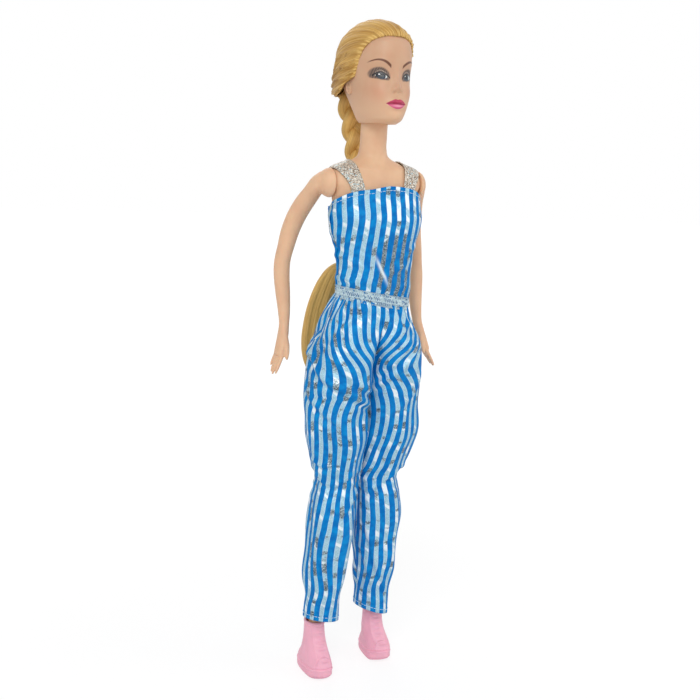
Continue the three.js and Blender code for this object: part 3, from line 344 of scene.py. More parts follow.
def push(points, amount, closed=True):
    """Moves the points of a grid along its normals."""
    return points + normals_of(points, closed) * np.asarray(amount)[..., None]


def ripple(seed, count, scale_u, scale_v):
    """A smooth random field of two variables, from waves with seeded directions and phases."""
    rng = np.random.default_rng(seed)
    turn = rng.uniform(0, 2 * math.pi, count)
    phase = rng.uniform(0, 2 * math.pi, count)
    pace = rng.uniform(0.6, 1.5, count)

    def field(u, v):
        total = 0
        for a, p, k in zip(turn, phase, pace):
            total = total + np.sin(k * (math.cos(a) * u / scale_u + math.sin(a) * v / scale_v) + p)
        return total / math.sqrt(count)

    return field


def cast(rows, origin, directions, reach=60.0):
    """Where rays from a point inside meet the keyed outline, found by halving."""
    origin = np.array(origin, float)
    rows = np.array(rows, float)
    near = np.zeros(directions.shape[:-1])
    far = np.full(directions.shape[:-1], reach)
    for _ in range(30):
        middle = (near + far) / 2
        p = origin + directions * middle[..., None]
        x, y, half, front, back, power = np.moveaxis(outline_at(rows, p[..., 2]), -1, 0)
        depth = np.where(p[..., 1] < y, front, back)
        outside = (np.abs((p[..., 0] - x) / half) ** power + np.abs((p[..., 1] - y) / depth) ** power) > 1
        outside |= (p[..., 2] > rows[-1, 0]) | (p[..., 2] < rows[0, 0])
        far = np.where(outside, middle, far)
        near = np.where(outside, near, middle)
    return origin + directions * near[..., None]


# Meshes
def linked(name, data):
    """A new object in the scene, with a mesh, curve, camera or light."""
    made = bpy.data.objects.new(name, data)
    bpy.context.scene.collection.objects.link(made)
    return made


class Patch:
    """Vertices, faces and a flat cloth or strand coordinate, in millimetres."""

    def __init__(self, points, faces, uv):
        self.points = np.asarray(points, float).reshape(-1, 3)
        self.faces = faces
        self.uv = np.asarray(uv, float).reshape(-1, 2)

    def moved(self, matrix):
        turned = self.points @ np.array(matrix.to_3x3()).T + np.array(matrix.translation)
        return Patch(turned, self.faces, self.uv)

    def mirrored(self, side):
        if side == LEFT:
            return self
        return Patch(self.points * (-1, 1, 1), [face[::-1] for face in self.faces], self.uv * (-1, 1))


def grid(points, uv=None, closed=True, cap_low=False, cap_high=False):
    """Faces over a grid of rings. uv is per point, and its seam is where the ring starts."""
    rows, columns = points.shape[:2]
    if uv is None:
        uv = arc_uv(points)
    faces = []
    for r in range(rows - 1):
        low, high = r * columns, (r + 1) * columns
        for i in range(columns if closed else columns - 1):
            j = (i + 1) % columns
            faces.append((low + i, low + j, high + j, high + i))
    extra_points, extra_uv = [], []
    for wanted, row, order in ((cap_low, 0, -1), (cap_high, rows - 1, 1)):  # a fan to the ring's middle
        if wanted:
            centre = rows * columns + len(extra_points)
            extra_points.append(points[row].mean(axis=0))
            extra_uv.append(uv[row].mean(axis=0))
            for i in range(columns):
                rim = (row * columns + i, row * columns + (i + 1) % columns, centre)
                faces.append(rim[::order])
    points = np.vstack([points.reshape(-1, 3)] + [p[None] for p in extra_points])
    uv = np.vstack([uv.reshape(-1, 2)] + [p[None] for p in extra_uv])
    return Patch(points, faces, uv)


def arc_uv(points, start=0):
    """Distance round each ring from the start column, and distance up the start column."""
    steps = np.linalg.norm(np.diff(points, axis=1), axis=-1)
    u = np.concatenate([np.zeros((len(points), 1)), np.cumsum(steps, axis=1)], axis=1)
    rises = np.linalg.norm(np.diff(points[:, start], axis=0), axis=-1)
    v = np.concatenate([[0], np.cumsum(rises)])
    return stacked(u - u[:, start:start + 1], v[:, None])


def make_object(name, material, *patches):
    """One object of all the patches, in metres, at the origin, in one of the MATERIALS."""
    points, faces, uvs, base = [], [], [], 0
    for patch in patches:
        points.append(patch.points)
        faces += [tuple(i + base for i in face) for face in patch.faces]
        uvs.append(patch.uv)
        base += len(patch.points)
    points = (np.vstack(points) + (0, SHIFT_Y, 0)) * MM
    mesh = bpy.data.meshes.new(name)
    mesh.from_pydata(points.tolist(), [], faces)
    layer = mesh.uv_layers.new(name="cut")
    corner = np.empty(len(mesh.loops), int)
    mesh.loops.foreach_get("vertex_index", corner)
    layer.data.foreach_set("uv", (np.vstack(uvs)[corner] * MM).astype(np.float32).ravel())
    mesh.polygons.foreach_set("use_smooth", [True] * len(mesh.polygons))
    mesh.materials.append(MATERIALS[material])
    mesh.update()
    return linked(name, mesh)


def apply_modifier(piece, kind, **settings):
    """Adds one modifier and turns its result into the piece's own mesh."""
    modifier = piece.modifiers.new(kind.lower(), kind)
    for key, value in settings.items():
        setattr(modifier, key, value)
    graph = bpy.context.evaluated_depsgraph_get()
    baked = bpy.data.meshes.new_from_object(piece.evaluated_get(graph))
    piece.modifiers.clear()
    old = piece.data
    piece.data = baked
    bpy.data.meshes.remove(old)


def thicken(piece, wall=CLOTH_WALL):
    """Gives a surface a wall, inwards."""
    apply_modifier(piece, "SOLIDIFY", thickness=wall * MM, offset=-1, use_even_offset=False)


def settle(piece, body, slot, *nodes):
    """Lets a piece ride on a body and hides the nodes that it stands in for. The slot is not used."""
    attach(piece, body)
    if nodes:
        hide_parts(*nodes)


# Shader maths
class Number:
    """A socket that carries one number. Arithmetic on it adds Math nodes."""

    def __init__(self, tree, socket):
        self.tree = tree
        self.socket = socket

    def math(self, operation, *others):
        node = self.tree.add("ShaderNodeMath", {"operation": operation}, **{
            str(i): value for i, value in enumerate((self, *others))
        })
        return Number(self.tree, node.outputs[0])

    def __add__(self, other): return self.math("ADD", other)
    def __sub__(self, other): return self.math("SUBTRACT", other)
    def __rsub__(self, other): return (self * -1) + other
    def __mul__(self, other): return self.math("MULTIPLY", other)
    def __truediv__(self, other): return self.math("DIVIDE", other)
    def __abs__(self): return self.math("ABSOLUTE")
    __radd__, __rmul__ = __add__, __mul__  # for 1 + mask and 2 * mask; 1 - mask has its own
    def sin(self): return self.math("SINE")
    def root(self): return self.math("SQRT")
    def fract(self): return self.math("FRACT")
    def floor(self): return self.math("FLOOR")
    def least(self, other): return self.math("MINIMUM", other)
    def most(self, other): return self.math("MAXIMUM", other)

    def above(self, edge, soft):
        """0 below the edge and 1 above it, over a soft width."""
        return self.ramp(edge - soft / 2, edge + soft / 2)

    def below(self, edge, soft):
        return 1 - self.above(edge, soft)

    def ramp(self, low, high):
        """0 at low and 1 at high, eased at both; low may be the larger of the two."""
        node = self.tree.add("ShaderNodeMapRange", {"interpolation_type": "SMOOTHSTEP"}, **{
            "Value": self, "From Min": low, "From Max": high,
        })
        return Number(self.tree, node.outputs[0])

    def hill(self, centre, width):
        """1 at the centre, falling to 0 over about the width on both sides."""
        scaled = (self - centre) / width
        return (scaled * scaled * -1).math("EXPONENT")


def norm(x, y):
    """Length of a pair of Numbers as a vector."""
    return (x * x + y * y).root()


class Tree:
    """A node tree. Every node comes from add, which feeds its sockets by name or number."""

    def __init__(self, tree):
        self.tree = tree

    def add(self, kind, settings=None, **sockets):
        node = self.tree.nodes.new(kind)
        for key, value in (settings or {}).items():
            setattr(node, key, value)
        for key, value in sockets.items():
            self.feed(node.inputs[int(key) if key.isdigit() else key], value)
        return node

    def feed(self, socket, value):
        if isinstance(value, Number):
            self.tree.links.new(value.socket, socket)
        elif isinstance(value, bpy.types.NodeSocket):
            self.tree.links.new(value, socket)
        else:
            socket.default_value = value


class Paint(Tree):
    """A material's node tree, with the patterns that the looks are made of."""

    def __init__(self, name):
        self.material = bpy.data.materials.new(name)
        self.material.use_nodes = True
        super().__init__(self.material.node_tree)
        self.shader = self.tree.nodes["Principled BSDF"]

    def scaled(self, vector, factor):
        node = self.add("ShaderNodeVectorMath", {"operation": "SCALE"}, Scale=factor)
        self.feed(node.inputs[0], vector)
        return node.outputs[0]

    def numbers(self, vector):
        node = self.add("ShaderNodeSeparateXYZ", Vector=vector)
        return [Number(self, output) for output in node.outputs]

    def place(self):
        """The point in millimetres, in the doll's frame."""
        x, y, z = self.numbers(self.scaled(self.add("ShaderNodeTexCoord").outputs["Object"], 1 / MM))
        return x, y - SHIFT_Y, z

    def cut(self):
        """The cloth's or strand's own coordinate in millimetres."""
        u, v, _ = self.numbers(self.scaled(self.add("ShaderNodeUVMap", {"uv_map": "cut"}).outputs[0], 1 / MM))
        return u, v

    def join(self, x, y, z=0.0):
        return self.add("ShaderNodeCombineXYZ", X=x, Y=y, Z=z).outputs[0]

    def noise(self, vector, scale, detail, roughness=0.5):
        node = self.add("ShaderNodeTexNoise", Vector=vector, Scale=scale, Detail=detail, Roughness=roughness)
        return Number(self, node.outputs[0])

    def cells(self, vector, scale):
        """A random number per cell, and the distance to the cell's centre."""
        node = self.add("ShaderNodeTexVoronoi", Vector=vector, Scale=scale)
        red, _, _ = self.numbers(node.outputs["Color"])
        return red, Number(self, node.outputs["Distance"])

    def mix(self, amount, low, high):
        node = self.add("ShaderNodeMix", {"data_type": "RGBA", "clamp_factor": True})
        self.feed(node.inputs[0], amount)
        for socket, value in ((node.inputs[6], low), (node.inputs[7], high)):
            self.feed(socket, (*value, 1) if isinstance(value, tuple) else value)
        return node.outputs[2]

    def layers(self, tone, *coats):
        """A tone under coats of paint, each an amount and a colour."""
        for amount, colour in coats:
            tone = self.mix(amount, tone, colour)
        return tone

    def bump(self, height, distance, strength):
        node = self.add("ShaderNodeBump", Strength=strength, Distance=distance * MM, Height=height)
        return node.outputs[0]

    def set(self, **sockets):
        for key, value in sockets.items():
            name = key.replace("_", " ").title().replace("Ior", "IOR")
            self.feed(self.shader.inputs[name], (*value, 1) if isinstance(value, tuple) else value)
        return self.material


def rgb(red, green, blue):
    """A display colour of 0 to 255 as the linear one that shaders use."""
    def linear(value):
        value /= 255
        return value / 12.92 if value <= 0.04045 else ((value + 0.055) / 1.055) ** 2.4
    return tuple(linear(value) for value in (red, green, blue))


SKIN = rgb(230, 188, 152)
SKIN_DEEP = rgb(211, 158, 126)
FACE = rgb(209, 167, 136)
FACE_DEEP = rgb(198, 146, 113)
BLONDE = rgb(210, 162, 78)
BLONDE_DEEP = rgb(154, 106, 40)
BLONDE_LIGHT = rgb(238, 200, 122)
BLUE = rgb(0, 112, 190)
BLUE_LIGHT = rgb(6, 142, 214)
FOIL = rgb(168, 208, 226)
FOIL_EDGE = rgb(196, 234, 248)
FOIL_GLEAM = rgb(240, 249, 252)
FOIL_DARK_REFLECTION = rgb(44, 53, 62)
PINK = rgb(247, 180, 200)


def skin_tone(paint, plain=SKIN, deep=SKIN_DEEP):
    """Peach vinyl: a little deeper where noise says, with a fine soft grain."""
    point = paint.join(*paint.place())
    tone = paint.mix(paint.noise(point, 0.12, 3).ramp(0.3, 0.75) * 0.35, plain, deep)
    return tone, paint.noise(point, 4.0, 3)


def set_skin(paint, tone, grain, roughness):
    """What the soft vinyl of the body and of the face share."""
    return paint.set(
        base_color=tone, roughness=roughness, normal=paint.bump(grain, 0.03, 0.5),
        subsurface_weight=0.12, subsurface_scale=0.004, specular_ior_level=0.4,
    )


def skin_material():
    """The vinyl of the torso, arms and legs."""
    paint = Paint("skin_vinyl")
    tone, grain = skin_tone(paint)
    return set_skin(paint, tone, grain, grain.ramp(0, 1) * 0.1 + 0.42)


EYE = {"x": 6.0, "z": 269.5, "half": 2.2, "up": 1.65, "down": 1.05, "tilt": 0.12}
IRIS = {"x": 5.8, "look": -0.4, "z": 269.8, "radius": 1.75}
BROW = {"peak_x": 7.6, "z": 276.1, "inner": 0.105, "outer": 0.15, "inner_x": 2.7, "outer_x": 10.2}
MOUTH = {"z": 259.0, "half": 4.5, "up": 1.9, "down": 2.3}


def face_material():
    """The head's vinyl with its painted brows, eyes and lips."""
    paint = Paint("painted_face")
    x, y, z = paint.place()
    tone, grain = skin_tone(paint, FACE, FACE_DEEP)
    front = y.below(-6, 1)
    wide = abs(x)

    tone = paint.mix(z.ramp(266, 254) * 0.7, tone, SKIN)
    cheek = wide.hill(7.2, 2.6) * z.hill(262.5, 3.4) * front
    tone = paint.mix(cheek * 0.3, tone, rgb(214, 138, 112))

    across = wide - EYE["x"]
    height = z - EYE["z"] - across * EYE["tilt"]
    arch = 1 - (across / EYE["half"]) * (across / EYE["half"])
    lid = arch * EYE["up"]
    above_lid = height - lid
    opening = above_lid.below(0, 0.12) * (height + arch * EYE["down"]).above(0, 0.12) * arch.above(0, 0.05) * front

    # Grey-brown shadow over the lid, with rows of fine strokes
    shade_u = (across - 0.4) / 3.6
    shade_v = (height - 0.5) / 3.1
    shade = (shade_u * shade_u + shade_v * shade_v).below(1, 0.5) * height.above(-1.2, 0.6)
    strokes = ((across + height * 0.25) * 8).sin().ramp(-0.6, 0.9)
    tone = paint.mix(shade * front * (0.78 + strokes * 0.22), tone, rgb(88, 75, 71))
    rim = above_lid.hill(0.8, 0.2) * arch.above(-0.35, 0.4) * (across * 11).sin().above(-0.1, 0.6) * front
    tone = paint.mix(rim * 0.8, tone, rgb(226, 208, 192))

    # White, iris, pupil and catch light
    tone = paint.mix(opening, tone, rgb(236, 236, 234))
    side = x.above(0, 0.01) * 2 - 1
    gaze_x = x - side * IRIS["x"] - IRIS["look"]
    gaze_z = z - IRIS["z"]
    reach = norm(gaze_x, gaze_z)
    iris = reach.below(IRIS["radius"], 0.15) * opening
    iris_colour = paint.mix((gaze_z * -1).ramp(-0.6, 1.5), rgb(30, 36, 44), rgb(74, 87, 99))
    iris_colour = paint.mix(reach.above(IRIS["radius"] - 0.3, 0.25), iris_colour, rgb(22, 26, 32))
    tone = paint.mix(iris, tone, iris_colour)
    tone = paint.mix(reach.below(0.72, 0.15) * opening, tone, rgb(16, 18, 22))
    glint = norm(gaze_x + 0.55, gaze_z - 0.5).below(0.27, 0.12) * opening
    tone = paint.mix(glint, tone, rgb(250, 250, 250))

    # Lash lines, the upper one drawn out past the outer corner
    reach_out = (across + 0.1) / (EYE["half"] + 0.9)
    lash_arch = 1 - reach_out * reach_out
    upper = (height - lash_arch * (EYE["up"] + 0.15) + 0.16).hill(0, 0.34) * lash_arch.above(0, 0.1)
    tone = paint.mix((upper * 1.4).least(1) * front, tone, rgb(26, 22, 24))
    lower = (height + arch * EYE["down"] + 0.08).hill(0, 0.2) * arch.above(0, 0.2)
    tone = paint.mix(lower * front * 0.75, tone, rgb(70, 62, 66))

    # Brow, thick at the nose and thin at the temple
    from_peak = wide - BROW["peak_x"]
    outward = from_peak.above(0, 0.4)
    curve = from_peak * from_peak * (outward * (BROW["outer"] - BROW["inner"]) + BROW["inner"])
    thick = wide.ramp(BROW["outer_x"], BROW["inner_x"]) * 0.46 + 0.27
    off_brow = abs(z - BROW["z"] + curve) / thick
    brow = off_brow.below(0.9, 0.7) * wide.above(BROW["inner_x"], 0.5) * wide.below(BROW["outer_x"], 1.2) * front
    tone = paint.mix(brow * 0.95, tone, rgb(104, 60, 42))

    # Lips
    part = wide / MOUTH["half"]
    arc = 1 - part * part
    bow = arc * MOUTH["up"] * (1 - part * 0.22) - wide.hill(0, 0.75) * 0.4
    basin = arc * MOUTH["down"]
    level = z - MOUTH["z"] + part * part * 0.15
    within = part.below(1, 0.06) * front
    upper_lip = (level - bow).below(0, 0.2) * level.above(-0.25, 0.15) * within
    lower_lip = level.below(-0.2, 0.15) * (level + basin).above(0, 0.2) * within
    shine = level.hill(-1.05, 0.45) * wide.hill(0.0, 1.9)
    crease = level.hill(-0.2, 0.14) * part.below(0.95, 0.2) * front
    tone = paint.layers(
        tone, (lower_lip, rgb(212, 88, 128)), (upper_lip, rgb(190, 62, 96)),
        (shine * lower_lip * 0.75, rgb(246, 176, 198)), (crease * 0.8, rgb(122, 34, 58)),
    )

    painted = (opening + upper_lip + lower_lip).least(1)
    return set_skin(paint, tone, grain, 0.46 - painted * 0.2)


def hair_material(name, pale=0.0, roots=False):
    """Combed fibres: streaks that run along v, with a fine groove between strands."""
    paint = Paint(name)
    u, v = paint.cut()
    strand = paint.noise(paint.join(u * 2.2, v * 0.05), 1.0, 4, 0.65)
    lock = paint.noise(paint.join(u * 0.45, v * 0.03), 1.0, 2)
    # pale lightens the whole colour: painted light for hair that hangs in shade.
    tone = paint.layers(
        BLONDE_DEEP, (lock.ramp(0.25, 0.8), BLONDE), (strand.ramp(0.35, 0.75) * 0.8, BLONDE_LIGHT),
        (strand.ramp(0.45, 0.2) * 0.5, BLONDE_DEEP), (pale, BLONDE_LIGHT),
    )
    # Light stripes along the hairline: painted highlights on the ridges of the rooted hair.
    if roots:
        tone = paint.mix((u * 5.2).sin().above(0.3, 0.7) * v.below(1.9, 1.6) * 0.75, tone, BLONDE_LIGHT)
    fibre = paint.noise(paint.join(u * 7.0, v * 0.12), 1.0, 3, 0.7)
    normal = paint.bump(fibre + strand * 0.8, 0.16, 0.8)
    return paint.set(base_color=tone, roughness=fibre * 0.2 + 0.36, normal=normal, specular_ior_level=0.35)


def stripe_material(name, pitch, centre_painted_light=0.0):
    """Blue satin with hot-foil stripes that run along v, in painted gleams, plain lengths and painted dark
    reflections speckled like glitter.
    """
    paint = Paint(name)
    u, v = paint.cut()
    x, y, z = paint.place()
    point = paint.join(u, v)
    wander = paint.noise(point, 0.12, 1) - 0.5
    place = (u + wander * 0.6) / pitch
    stripe = place.floor()
    from_middle = abs(place.fract() - 0.5)
    foil = from_middle.below(FOIL_HALF, 0.03)
    border = from_middle.above(FOIL_HALF - 0.045, 0.04)
    flake, _ = paint.cells(point, 2.4)
    fine, _ = paint.cells(point, 5.5)
    ragged = (paint.noise(point, 1.1, 3, 0.7) - 0.5) * 0.2 + (flake - 0.5) * 0.05
    # Dark runs along the stripes are painted dark reflections on the foil.
    dark_reflection_run = paint.noise(paint.join(stripe * 3.7 + u * 0.06, v * 0.17), 1.0, 1)
    # Gleam runs along the stripes are painted highlights on the foil.
    gleam_run = paint.noise(paint.join(stripe * 5.3 + 40, v * 0.2 + u * 0.12), 1.0, 1)
    # On the bodice, a painted dark reflection spreads over the centre.
    dark_reflection_zone = x.hill(5, 7.5) * z.hill(194.5, 13) * y.below(0, 4) * centre_painted_light * 1.35
    # On the bodice, painted highlights run across the bust.
    shine = (z.hill(213.5, 3.5) + z.hill(206.5, 1.8)) * x.hill(2, 8) * y.below(0, 4) * centre_painted_light
    dark = (dark_reflection_run + dark_reflection_zone + ragged - shine).ramp(0.57, 0.62)
    gleam = (gleam_run + ragged * 0.5 + shine * 0.7).ramp(0.55, 0.64) * (1 - dark)
    # The colour of the painted dark reflection, speckled like glitter.
    glitter = paint.layers(
        FOIL_DARK_REFLECTION,
        (flake.ramp(0.25, 0.95), rgb(122, 138, 148)),
        (fine.ramp(0.76, 0.9) * 0.85, rgb(222, 234, 238)),
        (fine.ramp(0.22, 0.1) * 0.6, rgb(46, 56, 66)),
    )
    silver = paint.layers(
        FOIL,
        (fine.ramp(0.5, 0.95) * 0.55, rgb(132, 158, 172)),
        (fine.ramp(0.3, 0.12) * 0.6, rgb(210, 234, 242)),
        (border * 0.6, FOIL_EDGE), (gleam * 0.9, FOIL_GLEAM), (dark * 0.9, glitter),
    )
    # A painted highlight along the diagonal fold across the bodice's front.
    crest_highlight = (z + x * 1.7).hill(187.2, 1.4) * x.hill(-1.5, 2.8) * y.below(-8, 2) * z.above(182, 1) * centre_painted_light * 3
    patchy = paint.noise(point, 0.3, 2).ramp(0.35, 0.75)
    tone = paint.layers(BLUE, (patchy, BLUE_LIGHT), (foil, silver), (crest_highlight.least(0.75), FOIL_GLEAM))
    weave = (u * 14).sin() * (v * 14).sin()
    crinkle = paint.noise(point, 0.7, 3, 0.6)
    height = crinkle * 1.2 + foil * flake * 0.1 + weave * 0.03 + foil * 0.12
    return paint.set(
        base_color=tone, metallic=foil * 0.3, roughness=0.56 - foil * 0.24 + foil * flake * 0.1,
        normal=paint.bump(height, 0.3, 0.7), specular_ior_level=0.1,
    )


def glitter_material():
    """Woven ribbon covered with silver and gold glitter."""
    paint = Paint("glitter_ribbon")
    point = paint.join(*paint.place())
    flake, _ = paint.cells(point, 1.7)
    fine, _ = paint.cells(point, 4.2)
    tone = paint.layers(
        rgb(150, 128, 104),
        (flake.ramp(0.1, 0.8), rgb(222, 206, 186)),
        (fine.ramp(0.62, 0.8), rgb(250, 246, 236)),
        (fine.ramp(0.3, 0.16) * 0.85, rgb(84, 76, 72)),
        (flake.ramp(0.8, 0.95) * fine.ramp(0.4, 0.6), rgb(176, 214, 226)),
    )
    normal = paint.bump(flake + fine * 0.6, 0.3, 0.7)
    return paint.set(base_color=tone, metallic=fine * 0.4, roughness=0.5 - flake * 0.2, normal=normal)


def elastic_material():
    """Silver-blue lurex elastic: pale ribs with short dark blue dashes between them."""
    paint = Paint("silver_elastic")
    u, v = paint.cut()
    jitter = paint.noise(paint.join(u, v), 0.5, 2)
    column = u / 1.1 + jitter * 0.1
    level = v / 2.1
    chance, _ = paint.cells(paint.join(column.floor() + 0.5, level.floor() + 0.5), 1.0)
    dash = abs(column.fract() - 0.5).below(0.24, 0.1) * chance.above(0.5, 0.1)
    dash = dash * abs(level.fract() - 0.5).below(0.4, 0.12)
    fleck, _ = paint.cells(paint.join(u * 1.2, v * 2.4), 2.6)
    tone = paint.layers(
        rgb(170, 200, 212),
        (jitter.ramp(0.3, 0.7), rgb(206, 226, 232)),
        (fleck.ramp(0.6, 1.0) * 0.5, rgb(232, 244, 246)),
        (dash * 0.9, rgb(56, 106, 164)),
        (fleck.ramp(0.12, 0.04) * 0.5, rgb(96, 118, 140)),
    )
    row = (v * 4.2).sin()
    normal = paint.bump(row * 0.6 + fleck * 0.5 - dash, 0.25, 0.6)
    return paint.set(base_color=tone, metallic=fleck * 0.25, roughness=0.52 - fleck * 0.15, normal=normal)


def vinyl_material(name, colour, rough=0.42):
    """Moulded vinyl with a soft uneven sheen."""
    paint = Paint(name)
    point = paint.join(*paint.place())
    deep = tuple(value * 0.86 for value in colour)
    tone = paint.mix(paint.noise(point, 0.25, 3).ramp(0.35, 0.8) * 0.5, colour, deep)
    grain = paint.noise(point, 3.5, 3)
    return paint.set(
        base_color=tone, roughness=grain * 0.14 + rough - 0.06, normal=paint.bump(grain, 0.04, 0.6),
        subsurface_weight=0.08, subsurface_scale=0.003,
    )


def thread_material():
    """Pale blue twisted thread."""
    paint = Paint("stitch_thread")
    x, _, z = paint.place()
    twist = ((x + z) * 9).sin()
    tone = paint.mix(twist.ramp(-1, 1), rgb(176, 214, 240), rgb(228, 242, 250))
    return paint.set(base_color=tone, roughness=twist * 0.1 + 0.55, normal=paint.bump(twist, 0.05, 0.6))


def tape_material():
    """White hook-and-loop tape with its nap."""
    paint = Paint("closure_tape")
    nap, far = paint.cells(paint.join(*paint.place()), 2.2)
    tone = paint.mix(nap, rgb(226, 224, 218), rgb(246, 245, 241))
    return paint.set(base_color=tone, roughness=nap * 0.1 + 0.75, normal=paint.bump(far, 0.3, 0.8))


MATERIALS = {
    "skin": skin_material(),
    "face": face_material(),
    "hair": hair_material("combed_hair", roots=True),
    # A paler copy of the hair: painted light for the plait and tail, which hang in shade.
    "plait": hair_material("plaited_hair", 0.34),
    # The bodice's centre takes painted dark reflection and painted highlights.
    "bodice": stripe_material("striped_bodice_cloth", STRIPE_PITCH["bodice"], 0.36),
    "trousers": stripe_material("striped_trouser_cloth", STRIPE_PITCH["trousers"]),
    "glitter": glitter_material(),
    "elastic": elastic_material(),
    "shoe": vinyl_material("pink_vinyl", PINK),
    "band": vinyl_material("hair_band_rubber", rgb(226, 186, 120), 0.5),
    "thread": thread_material(),
    "tape": tape_material(),
}


# Body
def make_torso_half(half, low_angle, high_angle):
    """Front or back of the blown torso, from under the waistband to the top of the neck."""
    heights = np.linspace(160, 251.2, 150)
    angles = np.linspace(low_angle, high_angle, 91)
    points = tube(TORSO, heights, angles)
    across = points[..., 0]
    level = points[..., 2]
    facing = -np.sin(angles)[None, :]
    collar = 0.55 * bump(level - 0.16 * np.abs(across), 230.6, 1.1) * bump(np.abs(across), 7, 4.5) * (facing > 0)
    hollow = -0.9 * bump(level, 234.2, 1.8) * bump(across, 0, 2.2) * (facing > 0)
    spine = -0.5 * bump(across, 0, 1.8) * smoothstep(236, 226, level) * (facing < 0)
    blades = 0.5 * bump(np.abs(across), 8.5, 3.2) * bump(level, 218, 6) * (facing < 0)
    points = push(points, collar + hollow + spine + blades, closed=False)
    keep = SHOULDER_X - 0.05  # flat where the arms' caps turn against it
    points[..., 0] = np.clip(points[..., 0], -keep, keep)
    piece = make_object(f"torso_{half}_skin", "skin", grid(points, closed=False))
    thicken(piece, 1.2)
    settle(piece, "torso", "skin", f"torso_{half}")


def make_arm(side):
    """Cap, arm and hand grown together from overlapping forms, then smoothed."""
    turn = full_turn(40)
    draw = 0.7 if side == RIGHT else -0.4  # one arm hangs a little further out than the other
    rows = [(z, x + draw * smoothstep(170, 222, z), *rest) for z, x, *rest in ARM]
    parts = [grid(tube(rows, np.linspace(150.5, 229.8, 130), turn), cap_low=True, cap_high=True)]
    bulge = 5.4 if side == RIGHT else 4.2
    along = 0.3 + np.linspace(0, 0.99, 24) * bulge
    radius = 6.3 * np.sqrt(1 - ((along - 0.3) / bulge) ** 2)
    ring = stacked(
        (SHOULDER_X + along)[:, None],
        SEAM_Y + radius[:, None] * np.cos(turn),
        SHOULDER_Z + radius[:, None] * np.sin(turn),
    )
    parts.append(grid(ring, cap_low=True, cap_high=True))
    parts.append(palm())
    parts += [limb_tube(finger, 10) for finger in FINGERS]
    name = f"arm_{SIDE_NAME[side]}"
    arm = make_object(f"{name}_skin", "skin", *(part.mirrored(side) for part in parts))
    apply_modifier(arm, "REMESH", mode="VOXEL", voxel_size=0.34 * MM, use_smooth_shade=True)
    apply_modifier(arm, "SMOOTH", factor=0.5, iterations=14)
    keep_outside(arm, SHOULDER_X + 0.3, side)
    settle(arm, name, "skin", name)


def keep_outside(piece, reach, side):
    """Flattens what comes nearer than the reach onto a plane, so that a limb keeps its gap to the body."""
    plane = side * reach * MM
    for vertex in piece.data.vertices:
        if (vertex.co.x - plane) * side < 0:
            vertex.co.x = plane


# Each finger as x, y, z and radius from its root to its tip
FINGERS = [
    [(35.2, 6.9, 152.5, 1.05), (37.2, 5.6, 148.4, 0.95), (38.8, 4.7, 145.2, 0.8), (39.9, 4.2, 142.9, 0.5)],
    [(35.7, 8.5, 152.0, 1.1), (37.9, 7.3, 147.8, 1.0), (39.6, 6.4, 144.6, 0.85), (40.7, 5.9, 142.4, 0.5)],
    [(35.9, 10.2, 152.0, 1.05), (38.0, 9.3, 148.0, 0.95), (39.4, 8.5, 145.2, 0.8), (40.4, 8.0, 143.0, 0.5)],
    [(35.8, 11.7, 152.4, 0.95), (37.6, 11.4, 149.2, 0.85), (38.8, 11.0, 147.0, 0.7), (39.6, 10.7, 145.4, 0.45)],
    [(34.3, 8.6, 158.5, 1.5), (33.9, 6.9, 154.6, 1.35), (34.1, 5.7, 151.4, 1.1), (34.5, 4.9, 148.6, 0.6)],
]


def palm():
    """The flat of the hand, from the roots of the fingers to the wrist."""
    rows = [
        (150.6, 36.7, 9.2, 1.25, 3.5, 3.2, 2.3),
        (154, 35.5, 9.7, 1.8, 3.6, 3.3, 2.2),
        (159, 34.3, 10.5, 2.2, 3.0, 2.9, 2),
        (163, 33.6, 11.4, 2.2, 2.4, 2.4, 2),
    ]
    return grid(tube(rows, np.linspace(150.6, 163, 20), full_turn(24)), cap_low=True, cap_high=True)


def frames_along(line, across):
    """Unit vectors to the side and up at each point of a line, square to it and to each other."""
    forward = np.gradient(line, axis=0)
    forward /= np.linalg.norm(forward, axis=1, keepdims=True)
    side = np.cross(forward, across)
    side /= np.linalg.norm(side, axis=1, keepdims=True)
    return side, np.cross(side, forward)


def limb_tube(stations, sides):
    """A round tube through stations of x, y, z and radius, closed at both ends."""
    stations = np.array(stations, float)
    t = np.linspace(0, len(stations) - 1, 5 * len(stations))
    line = stacked(*(np.interp(t, range(len(stations)), column) for column in stations.T))
    side, up = frames_along(line[:, :3], (0.31, 0.9, 0.3))
    turn = full_turn(sides)
    ring = (line[:, None, :3]
            + line[:, None, 3:] * (side[:, None] * np.cos(turn)[None, :, None]
                                   + up[:, None] * np.sin(turn)[None, :, None]))
    return grid(ring, cap_low=True, cap_high=True)


def shifted_leg(rows, side, ankle):
    """The rows of a leg drawn from the hip towards where its foot stands; ankle is where they have it."""
    foot_x, foot_y, _ = FEET[side]
    shift_x, shift_y = side * foot_x - ankle[0], foot_y - ankle[1]
    moved = []
    for z, x, y, *rest in rows:
        share = min(max((HIP_Z - z) / (HIP_Z - rows[0][0]), 0), 1)
        moved.append((z, x + shift_x * share, y + shift_y * share, *rest))
    return moved


def foot_matrix(side):
    """From a foot at the origin to where it stands, with its toe turned in."""
    foot_x, foot_y, toe_in = FEET[side]
    return Matrix.Translation((foot_x, foot_y, 0)) @ Matrix.Rotation(math.radians(-side * toe_in), 4, "Z")


